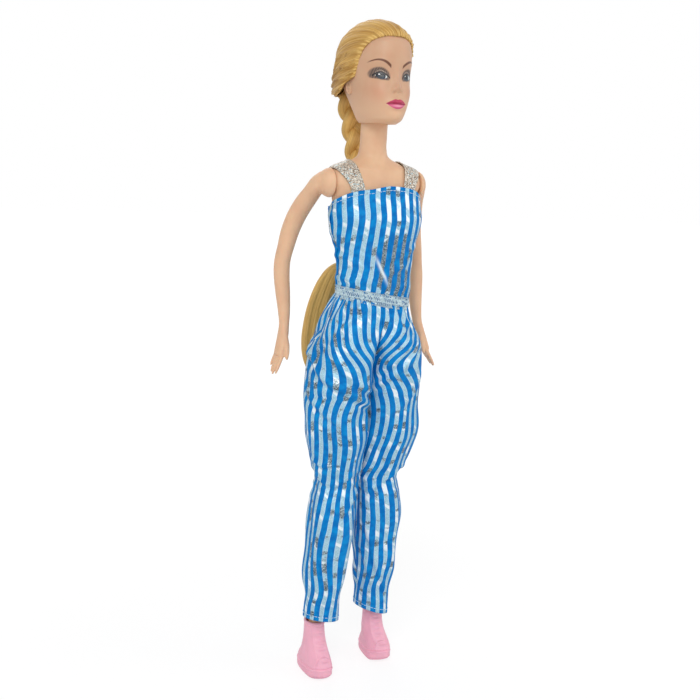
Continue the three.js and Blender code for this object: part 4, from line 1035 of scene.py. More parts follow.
def make_leg(side):
    """A straight vinyl leg, its calf and arched foot."""
    turn = full_turn(40)
    rows = shifted_leg(LEG, side, LEG[0][1:3])
    upper = grid(tube(rows, np.linspace(34, 148, 130), turn), cap_low=True, cap_high=True).mirrored(side)
    lower = grid(tube(FOOT, np.linspace(3, 36, 60), turn), cap_low=True, cap_high=True).moved(foot_matrix(side))
    name = f"leg_{SIDE_NAME[side]}"
    leg = make_object(f"{name}_skin", "skin", upper, lower)
    apply_modifier(leg, "REMESH", mode="VOXEL", voxel_size=0.5 * MM, use_smooth_shade=True)
    apply_modifier(leg, "SMOOTH", factor=0.5, iterations=4)
    settle(leg, name, "skin", name)


# Head and hair
# Bumps of the face: height, then centre and width across it, then centre and width up it
FACE_BUMPS = [
    (-1.15, 5.6, 2.9, 270.8, 2.5),  # sockets
    (0.75, 6.0, 2.3, 269.7, 1.6),  # eyeballs
    (0.4, 6.5, 3.6, 275.3, 1.5),  # brows
    (1.75, 0, 1.35, 265.0, 1.55),  # tip of the nose
    (0.75, 1.75, 0.85, 264.3, 1.0),  # its wings
    (-0.55, 1.0, 0.45, 263.2, 0.45),  # nostrils
    (-0.22, 0, 0.5, 262.0, 0.8),  # groove over the lip
    (0.55, 0, 4.2, 259.0, 3.4),  # muzzle
    (0.6, 1.3, 2.1, 259.9, 0.85),  # upper lip
    (0.75, 0, 2.3, 257.7, 0.95),  # lower lip
    (-0.35, 0, 2.4, 255.9, 0.8),  # hollow under the lip
    (0.75, 0, 3.0, 253.6, 1.7),  # chin
    (0.5, 7.0, 2.6, 263.6, 3.4),  # cheeks
]


def face_relief(x, z):
    """How far the face stands out at x and z."""
    wide = np.abs(x)
    lid_crease = -0.22 * bump(z - 1.7 * (1 - ((wide - 6.0) / 3.4) ** 2), 270.0, 0.4) * bump(wide, 6.0, 2.8)
    bridge = 1.15 * bump(x, 0, 1.25) * smoothstep(263.5, 266.5, z) * smoothstep(276, 269, z)
    mouth_line = -0.5 * bump(z + 0.02 * x * x, 258.9, 0.32) * smoothstep(4.4, 3.2, wide)
    return lid_crease + bridge + mouth_line + sum(
        height * bump(wide, across, width) * bump(z, level, tall) for height, across, width, level, tall in FACE_BUMPS
    )


def make_head():
    """Vinyl skull with the face's relief, closed under the chin round the neck."""
    spin = full_turn(300)
    angles = spin + 0.35 * np.sin(spin + math.pi / 2)  # columns crowd towards the face
    heights = np.concatenate([np.linspace(250.7, 276, 150), np.linspace(276.3, 291.55, 40)])
    points = tube(HEAD, heights, angles)
    facing = smoothstep(0.15, 0.6, -np.sin(angles))[None, :]
    points = push(points, face_relief(points[..., 0], points[..., 2]) * facing)
    rim, neck = points[0], np.array((0, 1.2, points[0, 0, 2]))
    under = [neck + (rim - neck) * share + (0, 0, lift) for share, lift in ((0.6, 2.6), (0.78, 1.5), (0.92, 0.5))]
    points = np.concatenate([under, points], axis=0)
    skull = grid(points, cap_low=True, cap_high=True)
    head = make_object("head_vinyl", "face", skull, *(ear().mirrored(side) for side in (RIGHT, LEFT)))
    settle(head, "head", "skin", "head")


def ear():
    """Shell of the ear: a flat lobe with a raised rim and a hollow inside it."""
    half_y, half_z, thick, tilt = 1.9, 3.2, 0.95, -0.25
    turn = full_turn(48)
    polar = np.linspace(0.02, math.pi - 0.02, 28)[:, None]
    y = np.sin(polar) * np.cos(turn) * half_y
    z = np.sin(polar) * np.sin(turn) * half_z
    out = np.cos(polar) * -thick
    reach = np.sqrt((y / half_y) ** 2 + (z / half_z) ** 2)
    rim = 0.35 * bump(reach, 0.82, 0.16) - 0.5 * bump(reach, 0.35, 0.35)
    out = out + np.where(out > 0, rim, 0)
    points = stacked(
        11.6 + out + 0.12 * y,
        3.1 + y * math.cos(tilt) - z * math.sin(tilt),
        265.2 + y * math.sin(tilt) + z * math.cos(tilt),
    )
    return grid(points[::-1], cap_low=True, cap_high=True)


GATHER = (-1.6, 27.0, 265.4)  # where the combed hair meets the plait
CROWN = (0, 4, 271)  # the middle that the combed lines turn about
HEAD_RADIUS = 15  # turns angles on the head into lengths
NAPE_Z = 258.8  # no hair grows below this height


def hair_directions(spin, polar):
    """Unit vectors at a polar angle from the gather, turned by spin about the line to it. Spin 0 is up."""
    back = np.array(GATHER) - np.array(CROWN)
    back = back / np.linalg.norm(back)
    right = np.cross(back, (0, 0, 1))
    right /= np.linalg.norm(right)
    up = np.cross(right, back)
    s, p = spin[..., None], polar[..., None]
    return np.cos(p) * back + np.sin(p) * (np.cos(s) * up + np.sin(s) * right)


def hairline_reach(spin):
    """The polar angle at which each combed line starts, on the hairline."""
    polar = np.linspace(0.05, 3.12, 300)
    s, p = np.meshgrid(spin, polar, indexing="ij")
    hits = cast(HAIR, CROWN, hair_directions(s, p))
    line = np.array(HAIRLINE)
    back_y = np.interp(-hits[..., 2], -line[:, 1], line[:, 0])
    past = (hits[..., 1] < back_y) | (hits[..., 2] < NAPE_Z)
    return polar[np.maximum(np.argmax(past, axis=1), 1)]


def make_hair_cap():
    """Hair combed back from the hairline to the plait, in one shell with raised locks at the sides."""
    spin = full_turn(420)
    reach = hairline_reach(spin)
    reach = (np.roll(reach, 1) + 2 * reach + np.roll(reach, -1)) / 4
    s, share = np.meshgrid(spin, np.linspace(0.02, 1, 110), indexing="ij")
    polar = share * reach[:, None]
    directions = hair_directions(s, polar)
    points = cast(HAIR, CROWN, directions)
    offset = np.abs((s + math.pi) % (2 * math.pi) - math.pi)
    at_side = smoothstep(0.75, 1.15, offset) * smoothstep(2.5, 2.1, offset)
    wave = 0.35 * np.sin(9 * share + 2.5 * offset)
    saw = ((offset * 180 / math.pi + 7 * wave) / 16) % 1
    locks = 1.7 * (saw - 0.5) * smoothstep(0, 0.12, saw) * at_side * smoothstep(0.05, 0.3, share)
    strands = 0.09 * np.sin(s * 95 + 3 * np.sin(5 * share)) + 0.13 * np.sin(s * 41 + 4 * share)
    roots = 0.16 * np.sin(s * 70) * smoothstep(0.84, 0.95, share) * smoothstep(1.1, 0.7, offset)
    to_edge = (1 - share) * reach[:, None] * HEAD_RADIUS
    edge = -0.95 * np.exp(-to_edge / 0.7)
    amount = locks * smoothstep(0, 2.5, to_edge) + strands * smoothstep(0.0, 0.25, share) + roots + edge
    points = points + directions * amount[..., None]
    uv = stacked(s * 14, (reach[:, None] - polar) * HEAD_RADIUS)
    patch = grid(np.swapaxes(points, 0, 1), np.swapaxes(uv, 0, 1), cap_low=True)
    hair = make_object("hair_cap_combed", "hair", patch)
    orient_outwards(hair)
    thicken(hair, 0.75)
    settle(hair, "head", "hair", "hair_cap")


def orient_outwards(piece):
    """Turns every face the same way, out of the piece."""
    shape = bmesh.new()
    shape.from_mesh(piece.data)
    bmesh.ops.remove_doubles(shape, verts=shape.verts, dist=1e-7)
    bmesh.ops.recalc_face_normals(shape, faces=shape.faces)
    shape.to_mesh(piece.data)
    shape.free()


def make_braid():
    """Three flat strands that cross in turn, as wide as the plait's outline."""
    patches = []
    low, high = BRAID[0][0], BRAID[-1][0]
    pitch = 27.0  # the height in which a strand crosses over and back
    z = np.linspace(low, high, 240)
    row = outline_at(BRAID, z)
    depth = (row[:, 3] + row[:, 4]) / 2
    turn = full_turn(26)
    for strand in range(3):
        phase = 2 * math.pi * (z - low) / pitch + strand * 2 * math.pi / 3
        line = stacked(row[:, 0] + row[:, 2] * 0.56 * np.sin(phase), row[:, 1] + 0.42 * depth * np.sin(2 * phase), z)
        side, out = frames_along(line, (0, 1, 0))
        wide, thick = row[:, 2] * 0.5, depth * 0.46
        lines = 1 + 0.045 * np.sin(9 * turn)
        ring = (line[:, None]
                + side[:, None] * (wide[:, None] * np.cos(turn) * lines)[..., None]
                + out[:, None] * (thick[:, None] * np.sin(turn) * lines)[..., None])
        uv = stacked(turn * 3.2 + 31 * strand, z[:, None] - low)
        patches.append(grid(ring, uv, cap_low=True, cap_high=True))
    braid = make_object("braid_strands", "plait", *patches)
    orient_outwards(braid)
    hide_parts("braid")
    # Points at the nape and lower down the plait, which nothing uses; the plait is baked where it stands.
    top = (0, (18 + SHIFT_Y) * MM, 0.2575)
    bottom = (0, (14 + SHIFT_Y) * MM, 0.226)
    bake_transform(braid)


def make_hair_tie():
    """A thin rubber band wound three times round the end of the plait."""
    patches = []
    turn, around = full_turn(64)[:, None], full_turn(10)[None, :]
    centre_x, centre_y = BRAID[0][1:3]
    radius = 3.5 + 0.42 * np.cos(around)
    for level in (190.75, 191.65, 192.55):
        ring = stacked(
            centre_x + radius * np.cos(turn),
            centre_y + radius * np.sin(turn),
            level + 0.5 * np.sin(around) + 0.1 * np.sin(2 * turn),
        )
        patches.append(grid(np.concatenate([ring, ring[:1]], axis=0)))
    tie = make_object("hair_tie_band", "band", *patches)
    orient_outwards(tie)
    settle(tie, "braid", "tie_band", "hair_tie")


def make_tail():
    """Loose hair below the band: a smooth leaf with shallow locks and a few parted ends."""
    turn = full_turn(200)
    heights = np.concatenate([np.linspace(128.6, 136, 30), np.linspace(136.4, 190.6, 120)])
    points = tube(TAIL, heights, turn)
    level = points[..., 2]
    row = outline_at(TAIL, heights)
    share = (points[..., 0] - row[:, 0:1]) / row[:, 2:3]
    spread = smoothstep(190, 176, level)
    locks = 0.28 * np.cos(share * 11 + 0.03 * level) + 0.13 * np.cos(share * 29 + 0.05 * level)
    fine = 0.06 * np.cos(share * 63)
    points = push(points, (locks + fine) * spread)
    ends = smoothstep(140, 130, level) * (0.9 * np.cos(share * 9) + 0.5 * np.cos(share * 17 + 1))
    points[..., 2] += ends * 1.2
    uv = stacked(share * 13, 192 - level)
    tail = make_object("hair_tail_strands", "plait", grid(points, uv, cap_low=True, cap_high=True))
    settle(tail, "braid", "hair", "hair_tail")


# Jumpsuit
def neckline_z(x, y):
    """Height of the bodice's top edge, which falls to the armpits and runs nearly level behind."""
    front = NECKLINE["slope"] * (np.minimum(y, 0) - NECKLINE["front_y"])
    sag = 1.6 * smoothstep(3, -8, x) * smoothstep(-2, -8, y)
    return NECKLINE["front_z"] - front - NECKLINE["back_slope"] * np.maximum(y, 0) - sag


def bodice_points(angles, grow=0.0):
    """The bodice cloth from the waist to its top edge, with its blousing and tension folds."""
    bottom = 178.6
    top = np.full(len(angles), 220.0)
    for _ in range(12):
        edge = tube(BODICE, top[None, :], angles)[0]
        top = 0.5 * top + 0.5 * neckline_z(edge[:, 0], edge[:, 1])
    heights = bottom + (top[None, :] - bottom) * np.linspace(0, 1, 110)[:, None]
    points = tube(BODICE, heights, angles, grow)
    x, z = points[..., 0], points[..., 2]
    gather = 0.3 * np.sin(26 * angles + np.sin(7 * angles)) * smoothstep(186, 180.5, z)
    blouse = 0.55 * bump(z, 183.8, 2.4)
    field = ripple(3, 9, 4.5, 9.0)(x, z)
    tension = 0.28 * field * smoothstep(181, 188, z) * smoothstep(222, 214, z)
    slant = 0
    for level, rise, depth, width, where in (  # creases across the cloth, rising along x
        (186.5, -0.5, 0.55, 1.3, smoothstep(-3, -11, x)), (190.5, -0.55, 0.4, 1.3, smoothstep(-4, -11, x)),
        (194.5, -0.5, 0.3, 1.4, smoothstep(-6, -12, x)), (187, 0.45, 0.9, 1.1, bump(x, 6, 6)),
        (190.5, 0.5, -0.6, 1.3, bump(x, 5, 6)), (192, 0.4, 0.5, 1.3, smoothstep(4, 12, x)),
        (186.6, -1.7, 0.8, 2.2, bump(x, -1.5, 3.2)), (182.4, -1.7, -0.6, 2.0, bump(x, -1.5, 3.2)),
    ):
        slant = slant + depth * bump(z - rise * x, level, width) * where
    hem = 0.22 * smoothstep(1.9, 1.2, top[None, :] - heights)
    points = push(points, gather + blouse + tension + slant + hem, closed=False)
    away = np.hypot(points[..., 1] - SEAM_Y, points[..., 2] - SHOULDER_Z)
    room = SHOULDER_X - 0.1 + 0.3 * np.maximum(away - 11, 0)
    points[..., 0] = np.clip(points[..., 0], -room, room)  # the arms swing past the cloth here
    points[..., 2] -= WAIST_TILT * points[..., 0] * smoothstep(190, 180, z)
    return points


def make_bodice():
    """The front and the two back panels, which lap over each other at the closure."""
    panels = {
        "bodice_front": (math.pi, 2 * math.pi, (0.060, 0.045)),
        "bodice_back_left": (0.0, math.pi / 2 - 0.01, (0.031, 0.036)),
        "bodice_back_right": (math.pi / 2 - 0.1, math.pi, (0.034, 0.036)),
    }
    for name, (start, stop, flat) in panels.items():
        count = max(24, int((stop - start) / math.pi * 150))
        angles = np.linspace(start, stop, count)
        grow = 0.45 if name == "bodice_back_right" else 0.0
        points = bodice_points(angles, grow)
        if name == "bodice_back_right":
            points[..., 1] -= 0.45 * smoothstep(-8, -16, points[..., 0])
        middle = {"bodice_front": count // 2, "bodice_back_left": count - 1, "bodice_back_right": 0}[name]
        uv = arc_uv(points, middle)
        uv[..., 0] += STRIPE_PITCH["bodice"] * 0.5 + 0.075 * (222 - points[..., 2])
        panel = make_object(f"{name}_cloth", "bodice", grid(points, uv, closed=False))
        thicken(panel)
        settle(panel, "torso", "striped_foil_cloth", name)


def make_bodice_stitches():
    """The stitched hem just under the bodice's top edge, in front."""
    edge = bodice_points(np.linspace(math.pi, 2 * math.pi, 150))
    ring = -1 - STITCH_RING
    line = edge[ring] + normals_of(edge, closed=False)[ring] * 0.12
    settle(stitch_row("bodice_hem_stitches", line, 1.7, 1.25), "torso", "striped_foil_cloth")


def make_waist():
    """Ruched elastic with a frilled edge above and below."""
    turn = full_turn(420)
    points = tube(WAIST, np.linspace(WAIST_LOW, WAIST_HIGH, 34), turn, 0.1)
    level = (points[..., 2] - WAIST_LOW) / (WAIST_HIGH - WAIST_LOW)
    rows = 0.1 * np.cos(level * 2 * math.pi * 3)
    gathers = 0.18 * np.sin(70 * turn + 1.6 * np.sin(5 * level + 5 * turn))
    frill = 0.3 * (bump(level, 0.0, 0.09) + bump(level, 1.0, 0.09)) * (0.5 + 0.5 * np.sin(60 * turn))
    points = push(points, rows + gathers + frill)
    points[..., 2] -= WAIST_TILT * points[..., 0]
    band = make_object("waist_elastic_band", "elastic", grid(points))
    thicken(band, 0.7)
    settle(band, "torso", "silver_elastic", "waist_elastic")


def trouser_rows(side):
    """The trouser outlines of one leg, drawn towards where its foot stands."""
    return shifted_leg(TROUSER, side, TROUSER_ANKLE)


def fold_height(turn, z, depth, width, path):
    """A ridge with a crease under it, along a path of turns and heights."""
    path = sorted(path)
    turns, levels = zip(*path)
    level = np.interp(turn, turns, levels)
    slope = (np.interp(turn + 0.01, turns, levels) - np.interp(turn - 0.01, turns, levels)) / (0.02 * 80)
    across = (z - level) / np.sqrt(1 + slope**2)
    ends = smoothstep(turns[0] - 0.04, turns[0] + 0.03, turn) * smoothstep(turns[-1] + 0.04, turns[-1] - 0.03, turn)
    return depth * ends * (bump(across, 0, width) - 0.7 * bump(across, -1.5 * width, 0.8 * width))


def trouser_folds(side, turn, z):
    """Height of the folds. Turn is 0 at the inseam, a quarter at the front, a half outside."""
    around = turn * 2 * math.pi
    loose = bump(turn, 0.0, 0.13) + bump(turn, 1.0, 0.13) + bump(turn, 0.73, 0.16)
    total = 0.5 * np.sin(15 * around + 1.3 * np.sin(3 * around + side)) * smoothstep(160, 172, z)
    total = total + 0.45 * np.sin(8 * around + 0.7 * side) * bump(z, 160, 8)
    for depth, width, path in FOLDS[side] + SEAT_FOLDS:
        total = total + fold_height(turn, z, depth, width, path)
    # Puckers where the cloth is drawn in at the knee, and slack above and below it
    pucker = np.sin((z - 94) * 1.35 + 2.0 * np.sin(2 * around + side)) * bump(z, 94, 7)
    total = total + 0.5 * pucker * (0.2 + 0.6 * loose)
    drape = np.sin(5 * around + 0.05 * z * side + side)
    total = total + 0.6 * drape * smoothstep(26, 60, z) * smoothstep(140, 120, z)
    slack = ripple(11 + side, 10, 0.55, 6.5)(around, z)
    total = total + 0.5 * slack * smoothstep(28, 44, z) * smoothstep(171, 160, z)
    crumple = ripple(23 + side, 12, 0.3, 3.0)(around, z)
    return total + 0.2 * crumple * smoothstep(28, 40, z)


def valley(x, y, z):
    """How far along Y the cloth sinks in between the thighs, in front and behind."""
    front = 4.2 * bump(z, 150, 7.5) * (y < SEAM_Y)
    back = -2.5 * bump(z, 148, 8) * (y >= SEAM_Y)
    return (front + back) * bump(x, 0, 3.8)


def trouser_surface(side):
    """One leg's cloth before its folds, and each point's turn round the leg. Above the crotch the columns
    spread over what lies outside the centre seam, so that they run along it."""
    heights = np.linspace(25.6, 175.3, LEG_ROWS)
    rows = trouser_rows(side)
    outline = outline_at(rows, heights)
    x_c, y_c, half, front, back, power = (outline[:, i:i + 1] for i in range(6))
    inward = np.clip((x_c - SEAM_X) / half, 0, 1)
    reach = (1 - inward ** power) ** (1 / power)
    drop = np.clip((CROTCH["top"] - heights) / (CROTCH["top"] - CROTCH["bottom"]), 0, 1)[:, None]
    curve = np.sqrt(1 - drop**2)
    start = np.arccos(inward ** (power / 2)) / (2 * math.pi) * curve
    turn = start + np.linspace(0, 1, LEG_COLUMNS)[None, :] * (1 - 2 * start)
    angles = math.pi + turn * 2 * math.pi
    points = tube(rows, np.repeat(heights[:, None], LEG_COLUMNS, axis=1), angles)
    limit_front = CROTCH["y"] + (y_c - front * reach - CROTCH["y"]) * curve
    limit_back = CROTCH["y"] + (y_c + back * reach - CROTCH["y"]) * curve
    x, y, z = np.moveaxis(points, -1, 0)
    over = (x < SEAM_X) & (z > CROTCH["bottom"])
    pulled = np.where(angles < 2 * math.pi, np.minimum(y, limit_front), np.maximum(y, limit_back))
    points[..., 1] = np.where(over, pulled, y)
    points[..., 0] = np.maximum(x, SEAM_X)
    points[..., 1] += valley(points[..., 0], points[..., 1], z)
    return points, turn


def trouser_cut(points, turn, side):
    """The stripes' coordinate: along the seams on the hips, drawn to the crotch and wavy on the legs."""
    z = points[..., 2]
    uv = arc_uv(points, start=int(0.3 * LEG_COLUMNS))
    from_seam = uv[..., 0] - uv[:, :1, 0]
    width = from_seam[np.argmin(np.abs(z[:, 0] - 153)), -1]
    share = np.linspace(0, 1, LEG_COLUMNS)[None, :]
    hips = from_seam + smoothstep(0.2, 0.8, share) * (width - from_seam[:, -1:])
    leg = uv[..., 0] + 0.3 * width
    on_hips = smoothstep(133, 153, z)
    uv[..., 0] = leg * (1 - on_hips) + hips * on_hips
    level, where = (141, 0.22) if side == RIGHT else (149, 0.16)
    uv[..., 0] += 7.5 * bump(z, level, 11) * bump(share, where, 0.24)
    uv[..., 0] -= 6.0 * bump(z, 145, 10) * bump(share, 0.82, 0.22)
    wave = ripple(5 + side, 8, 0.8, 7.0)(turn * 2 * math.pi, z)
    uv[..., 0] += 1.5 * wave * smoothstep(30, 50, z) * smoothstep(174, 160, z)
    return uv


def make_trouser_leg(side):
    """One leg with its half of the hips: a panel that closes below the crotch and opens above it."""
    name = SIDE_NAME[side]
    points, turn = trouser_surface(side)
    z = points[..., 2]
    uv = trouser_cut(points, turn, side)
    folds = trouser_folds(side, turn, z)
    folds = folds * np.where(z > 118, smoothstep(0.1, 3.0, points[..., 0]), 1.0)
    folds = folds * smoothstep(0, 0.03, turn) * smoothstep(1, 0.97, turn)
    moved = push(points, folds, closed=False)
    moved[..., 0] = np.maximum(moved[..., 0], SEAM_X)
    cloth = grid(moved, uv, closed=False).mirrored(side)
    spots = cloth.points
    spots[:, 2] -= WAIST_TILT * spots[:, 0] * smoothstep(158, 173, spots[:, 2])
    spots[:, 0] += WAIST_X * smoothstep(166, 175, spots[:, 2])
    lean_x, lean_y, lift, draw = HEM_LEAN[side]
    foot_x, foot_y, _ = FEET[side]
    low = smoothstep(46, 27, spots[:, 2])
    spots[:, 2] += low * (lean_x * (spots[:, 0] - foot_x) + lean_y * (spots[:, 1] - foot_y) + lift)
    spots[:, 0] += draw * smoothstep(75, 27, spots[:, 2])
    leg = make_object(f"trouser_{name}_cloth", "trousers", cloth)
    thicken(leg)
    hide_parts(f"trouser_leg_{name}")
    ring = spots.reshape(LEG_ROWS, LEG_COLUMNS, 3)[STITCH_RING]
    middle = ring.mean(axis=0)
    ring = middle + (ring - middle) * (1 + 0.1 / np.linalg.norm(ring - middle, axis=1, keepdims=True))
    settle(stitch_row(f"hem_{name}_stitches", ring, 1.6, 1.15), f"leg_{name}", "striped_foil_cloth")
    # Points over the hip at two heights, which nothing uses; the cloth is baked where it stands.
    start, end = ((side * 0.012, (SEAM_Y + SHIFT_Y) * MM, z) for z in (0.169, 0.139))
    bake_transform(leg)


def make_gore():
    """The seat and crotch cloth that stays with the body, just under the legs' cloth."""
    turn = full_turn(120)
    seat = [
        (150, 0, SEAM_Y, 23.5, 13.8, 15.8, 2.3), (157, 0, SEAM_Y, 23.6, 13.8, 15.7, 2.3),
        (163, 0, -1.8, 21.4, 13.4, 14.2, 2.2), (168, 0, -3.0, 18.8, 12.4, 12.2, 2.1),
        (173.6, 0, -4.8, 16.3, 9.2, 9.8, 2.1),
    ]
    upper = tube(seat, np.linspace(158, 173.6, 30), turn)
    upper[..., 1] += 1.1 * valley(upper[..., 0], upper[..., 1], upper[..., 2])
    arc = np.linspace(math.radians(150), math.radians(390), 60)
    across = np.linspace(-3.0, 3.0, 9)
    sunk = 7.5 * smoothstep(252, 215, np.degrees(arc)) + 4.0 * smoothstep(300, 335, np.degrees(arc))
    radius = 16.9 - sunk
    band = stacked(across, (SEAM_Y + radius * np.cos(arc))[:, None], (HIP_Z + radius * np.sin(arc))[:, None])
    gore = make_object("trouser_seat_cloth", "trousers", grid(upper), grid(band, closed=False))
    orient_outwards(gore)
    thicken(gore, 0.3)
    settle(gore, "torso", "striped_foil_cloth", "trouser_seat")


def make_strap(side):
    """A glitter ribbon over the shoulder, slanting outwards to the top and back inwards behind."""
    polar = np.linspace(math.radians(-22), math.radians(196), 90)
    p, part = np.meshgrid(polar, np.linspace(0, 1, 14), indexing="ij")
    lift = np.clip(np.sin(p), 0, 1) ** 1.5
    inner = 9.3 + 2.6 * lift
    outer = 15.0 + 5.3 * lift
    directions = stacked(0, -np.cos(p), np.sin(p))
    origins = stacked(inner + (outer - inner) * part, SEAM_Y, 222.5)
    points = cast(TORSO, origins, directions) + directions * 0.75
    edges = 0.12 * (bump(part, 0, 0.07) + bump(part, 1, 0.07))
    points += directions * edges[..., None]
    keep = (points[..., 2] > neckline_z(side * points[..., 0], points[..., 1]) - 2.5).all(axis=1)
    first, last = np.argmax(keep), len(keep) - np.argmax(keep[::-1])
    points = points[max(first - 1, 0):last + 1]
    ribbon = grid(points, closed=False).mirrored(side)
    name = f"strap_{SIDE_NAME[side]}"
    strap = make_object(f"{name}_ribbon", "glitter", ribbon)
    orient_outwards(strap)
    apply_modifier(strap, "SOLIDIFY", thickness=0.45 * MM, offset=0)
    settle(strap, "torso", "glitter_ribbon", name)


# Shoes
def make_shoe(side):
    """A moulded pink boot with its welt, toe cap, lace rows, tongue and collar."""
    turn = full_turn(240)
    heights = np.concatenate([np.linspace(0, 7, 70), np.linspace(7.1, 24.6, 110)])
    points = tube(SHOE, heights, turn)
    x, y, z = np.moveaxis(points, -1, 0)
    facing = -np.sin(turn)[None, :]
    welt = 0.22 * bump(z, 1.3, 0.8) + 0.26 * bump(z, 3.9, 0.45) - 0.38 * bump(z, 4.75, 0.28)
    tread = 0.12 * np.sin(turn * 56)[None, :] * smoothstep(1.6, 1.2, z) * smoothstep(0.1, 0.4, z)
    cap = -0.3 * bump(y + 0.018 * x * x, -9.6, 0.28) * smoothstep(4.9, 5.4, z)
    cap_fill = 0.2 * smoothstep(-9.4, -10.6, y) * smoothstep(4.9, 5.6, z)
    laces = 0.34 * np.cos((z - 7.4) * 2 * math.pi / 2.35) * bump(x, 0, 1.9) * smoothstep(6.8, 7.6, z)
    laces = laces * smoothstep(21.8, 20.6, z) * smoothstep(0.4, 0.75, facing)
    facings = 0.32 * bump(np.abs(x), 3.0, 0.45) * smoothstep(6.5, 8, z) * smoothstep(0.2, 0.5, facing)
    collar = 0.32 * bump(z, 24.0, 0.55) - 0.2 * bump(z, 22.9, 0.3)
    heel_tab = 0.42 * bump(x, 0, 1.7) * smoothstep(0.5, 0.8, -facing) * smoothstep(5.5, 8.5, z)
    heel_line = -0.2 * bump(z - 0.28 * (y + 3), 10.2, 0.28) * smoothstep(0.05, 0.3, -facing)
    quarter = -0.2 * bump(y - 0.55 * (z - 12), -1.8, 0.3) * smoothstep(5.4, 6.2, z) * smoothstep(20, 17, z)
    relief = welt + tread + cap + cap_fill + laces + facings + collar + heel_tab + heel_line
    relief = 0.8 * (relief + quarter * (np.abs(facing) < 0.8))
    points = push(points, relief)
    # The far shoe's toe springs more and is a little shorter, and its sole stands further out
    spring, toe, shift = (1.5, 0.9, 1.3) if side == LEFT else (1.0, 1.0, 0.0)
    points[..., 2] += spring * smoothstep(-6, -13, y) * smoothstep(11, 2, z)
    points[..., 1] *= np.where(points[..., 1] < 0, toe, 1.0)
    points[..., 0] += shift * smoothstep(16, 6, z)
    points[..., 2] = np.clip(points[..., 2], 0, SHOE[-1][0])
    rim = points[-1]
    centre = rim.mean(axis=0)
    inner = [centre + (rim - centre) * share + np.array((0, 0, drop)) for share, drop in (
        (0.93, 0.18), (0.84, 0.1), (0.78, -0.5), (0.76, -3.0), (0.72, -9.0))]
    points = np.concatenate([points, np.array(inner)], axis=0)
    form = grid(points, cap_low=True, cap_high=True).moved(foot_matrix(side))
    name = f"shoe_{SIDE_NAME[side]}"
    settle(make_object(f"{name}_vinyl", "shoe", form), name, "shoe_vinyl", name)


# Stitches, repeated along a line by one node tree
def stitch_tree():
    """Geometry nodes: a short thread every pitch along the incoming curve."""
    group = bpy.data.node_groups.new("stitch_row", "GeometryNodeTree")
    for label in ("Geometry", "Pitch", "Length", "Radius", "Thread"):
        kind = {"Geometry": "Geometry", "Thread": "Material"}.get(label, "Float")
        group.interface.new_socket(label, in_out="INPUT", socket_type=f"NodeSocket{kind}")
    group.interface.new_socket("Geometry", in_out="OUTPUT", socket_type="NodeSocketGeometry")
    tree = Tree(group)
    source = tree.add("NodeGroupInput").outputs
    line = tree.add("GeometryNodeResampleCurve", {"mode": "LENGTH"}, Curve=source["Geometry"], Length=source["Pitch"])
    spots = tree.add("GeometryNodeCurveToPoints", {"mode": "EVALUATED"}, **{"0": line.outputs[0]}).outputs
    bar = tree.add("GeometryNodeMeshCylinder", Vertices=6, Radius=source["Radius"], Depth=source["Length"])
    threads = tree.add("GeometryNodeInstanceOnPoints", Points=spots["Points"], Instance=bar.outputs[0],
                       Rotation=spots["Rotation"])
    real = tree.add("GeometryNodeRealizeInstances", **{"0": threads.outputs[0]})
    dress = tree.add("GeometryNodeSetMaterial", Geometry=real.outputs[0], Material=source["Thread"])
    tree.add("NodeGroupOutput", **{"0": dress.outputs[0]})
    return group


STITCHES = stitch_tree()


def stitch_row(name, line, pitch, length, radius=0.12):
    """Stitches along a line of points in millimetres, as one plain mesh."""
    curve = bpy.data.curves.new(name, "CURVE")
    curve.dimensions = "3D"
    spline = curve.splines.new("POLY")
    spline.points.add(len(line) - 1)
    for point, place in zip(spline.points, line):
        point.co = (*((np.array(place) + (0, SHIFT_Y, 0)) * MM), 1)
    carrier = linked(f"{name}_line", curve)
    modifier = carrier.modifiers.new("stitches", "NODES")
    modifier.node_group = STITCHES
    values = {"Pitch": pitch * MM, "Length": length * MM, "Radius": radius * MM, "Thread": MATERIALS["thread"]}
    for item in STITCHES.interface.items_tree:
        if item.in_out == "INPUT" and item.name in values:
            modifier[item.identifier] = values[item.name]
    graph = bpy.context.evaluated_depsgraph_get()
    mesh = bpy.data.meshes.new_from_object(carrier.evaluated_get(graph))
    bpy.data.objects.remove(carrier)
    return linked(name, mesh)


# Camera, floor and light: angles in degrees, distance and aim in millimetres
CAMERA = {"azimuth": -27.5, "elevation": 10.6, "distance": 480, "roll": 3.0, "lens": 55.797, "aim": (-5.776, 152.302)}


def make_camera():
    """The photograph's view: a camera fitted to the doll, rolled by the doll's lean."""
    azimuth, elevation = math.radians(CAMERA["azimuth"]), math.radians(CAMERA["elevation"])
    back = Vector((
        math.sin(azimuth) * math.cos(elevation), -math.cos(azimuth) * math.cos(elevation), math.sin(elevation),
    ))
    right = Vector((math.cos(azimuth), math.sin(azimuth), 0))
    up = back.cross(right)
    roll = math.radians(CAMERA["roll"])
    rolled_right = math.cos(roll) * right + math.sin(roll) * up
    rolled_up = -math.sin(roll) * right + math.cos(roll) * up
    aim = Vector((0, SHIFT_Y, CAMERA["aim"][1])) + right * CAMERA["aim"][0]
    data = bpy.data.cameras.new("camera")
    data.lens = CAMERA["lens"]
    data.sensor_fit = "HORIZONTAL"
    data.sensor_width = 36
    data.clip_start = 0.01
    camera = linked("camera", data)
    turn = Matrix((rolled_right, rolled_up, back)).transposed()
    camera.matrix_world = Matrix.Translation((aim + back * CAMERA["distance"]) * MM) @ turn.to_4x4()
    bpy.context.scene.camera = camera


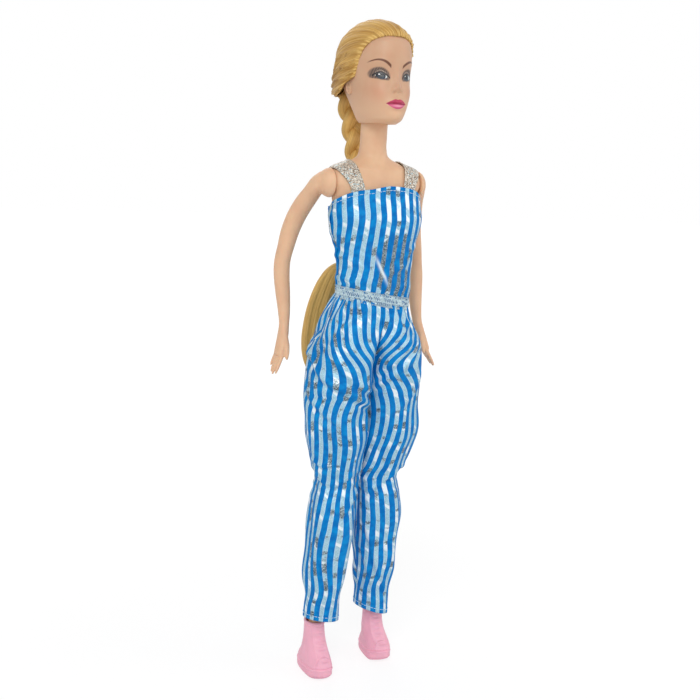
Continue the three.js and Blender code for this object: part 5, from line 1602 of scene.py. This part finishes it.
def make_floor():
    """A pale floor that looks white to the camera, keeps a soft shadow and fades into the backdrop."""
    mesh = bpy.data.meshes.new("floor")
    reach = 3.0  # metres
    corners = [(-reach, -reach, 0), (reach, -reach, 0), (reach, reach, 0), (-reach, reach, 0)]
    mesh.from_pydata(corners, [], [(0, 1, 2, 3)])
    floor = linked("floor", mesh)
    paint = Paint("pale_floor")
    paint.set(base_color=(0.93, 0.93, 0.93), roughness=0.9)
    x, y, _ = paint.place()
    far = norm(x, y).ramp(120, 420)
    seen = Number(paint, paint.add("ShaderNodeLightPath").outputs["Is Camera Ray"])
    white = paint.add("ShaderNodeEmission", Strength=1.07)
    blend = paint.add("ShaderNodeMixShader", **{
        "0": seen * (far * 0.26 + 0.74), "1": paint.shader.outputs[0], "2": white.outputs[0],
    })
    paint.feed(paint.tree.nodes["Material Output"].inputs["Surface"], blend.outputs[0])
    mesh.materials.append(paint.material)


def make_world():
    """A white backdrop, at full strength for the camera, mirrors and clear forms, and dimmer as a light."""
    world = bpy.data.worlds.new("studio")
    world.use_nodes = True
    tree = Tree(world.node_tree)
    rays = tree.add("ShaderNodeLightPath").outputs
    camera, glossy, through = (Number(tree, rays[f"Is {kind} Ray"]) for kind in ("Camera", "Glossy", "Transmission"))
    level = tree.add("ShaderNodeMapRange", Value=camera.most(glossy.most(through)), **{"To Min": 0.58, "To Max": 1.0})
    background = world.node_tree.nodes["Background"]
    tree.feed(background.inputs["Color"], (1, 1, 1, 1))
    tree.feed(background.inputs["Strength"], level.outputs[0])
    bpy.context.scene.world = world


def make_light(name, place, energy, size):
    """A square area light, in metres, that points at the doll's middle."""
    data = bpy.data.lights.new(name, "AREA")
    data.energy = energy
    data.size = size
    light = linked(name, data)
    light.location = place
    aim = Vector((0, 0, 0.16)) - Vector(place)
    light.rotation_euler = aim.to_track_quat("-Z", "Y").to_euler()


make_camera()
make_floor()
make_world()
make_light("key", (-0.75, -1.1, 1.15), 9.6, 0.7)
make_light("fill", (1.1, -0.8, 0.7), 2.8, 0.9)
make_light("back", (0.3, 1.2, 0.9), 2.6, 0.8)
bpy.context.scene.view_settings.view_transform = "Standard"

make_torso_half("front", math.pi, 2 * math.pi)
make_torso_half("back", 0.0, math.pi)
make_head()
make_hair_cap()
make_braid()
make_hair_tie()
make_tail()
make_bodice()
make_waist()
make_gore()
for side in (RIGHT, LEFT):
    make_arm(side)
    make_leg(side)
    make_shoe(side)
    make_strap(side)
    make_trouser_leg(side)

for node, key in (("neck_knob", "skin"), ("closure_hook", "tape"), ("closure_loop", "tape")):
    mesh = frame["nodes"][node].data
    mesh.materials.clear()
    mesh.materials.append(MATERIALS[key])

make_bodice_stitches()
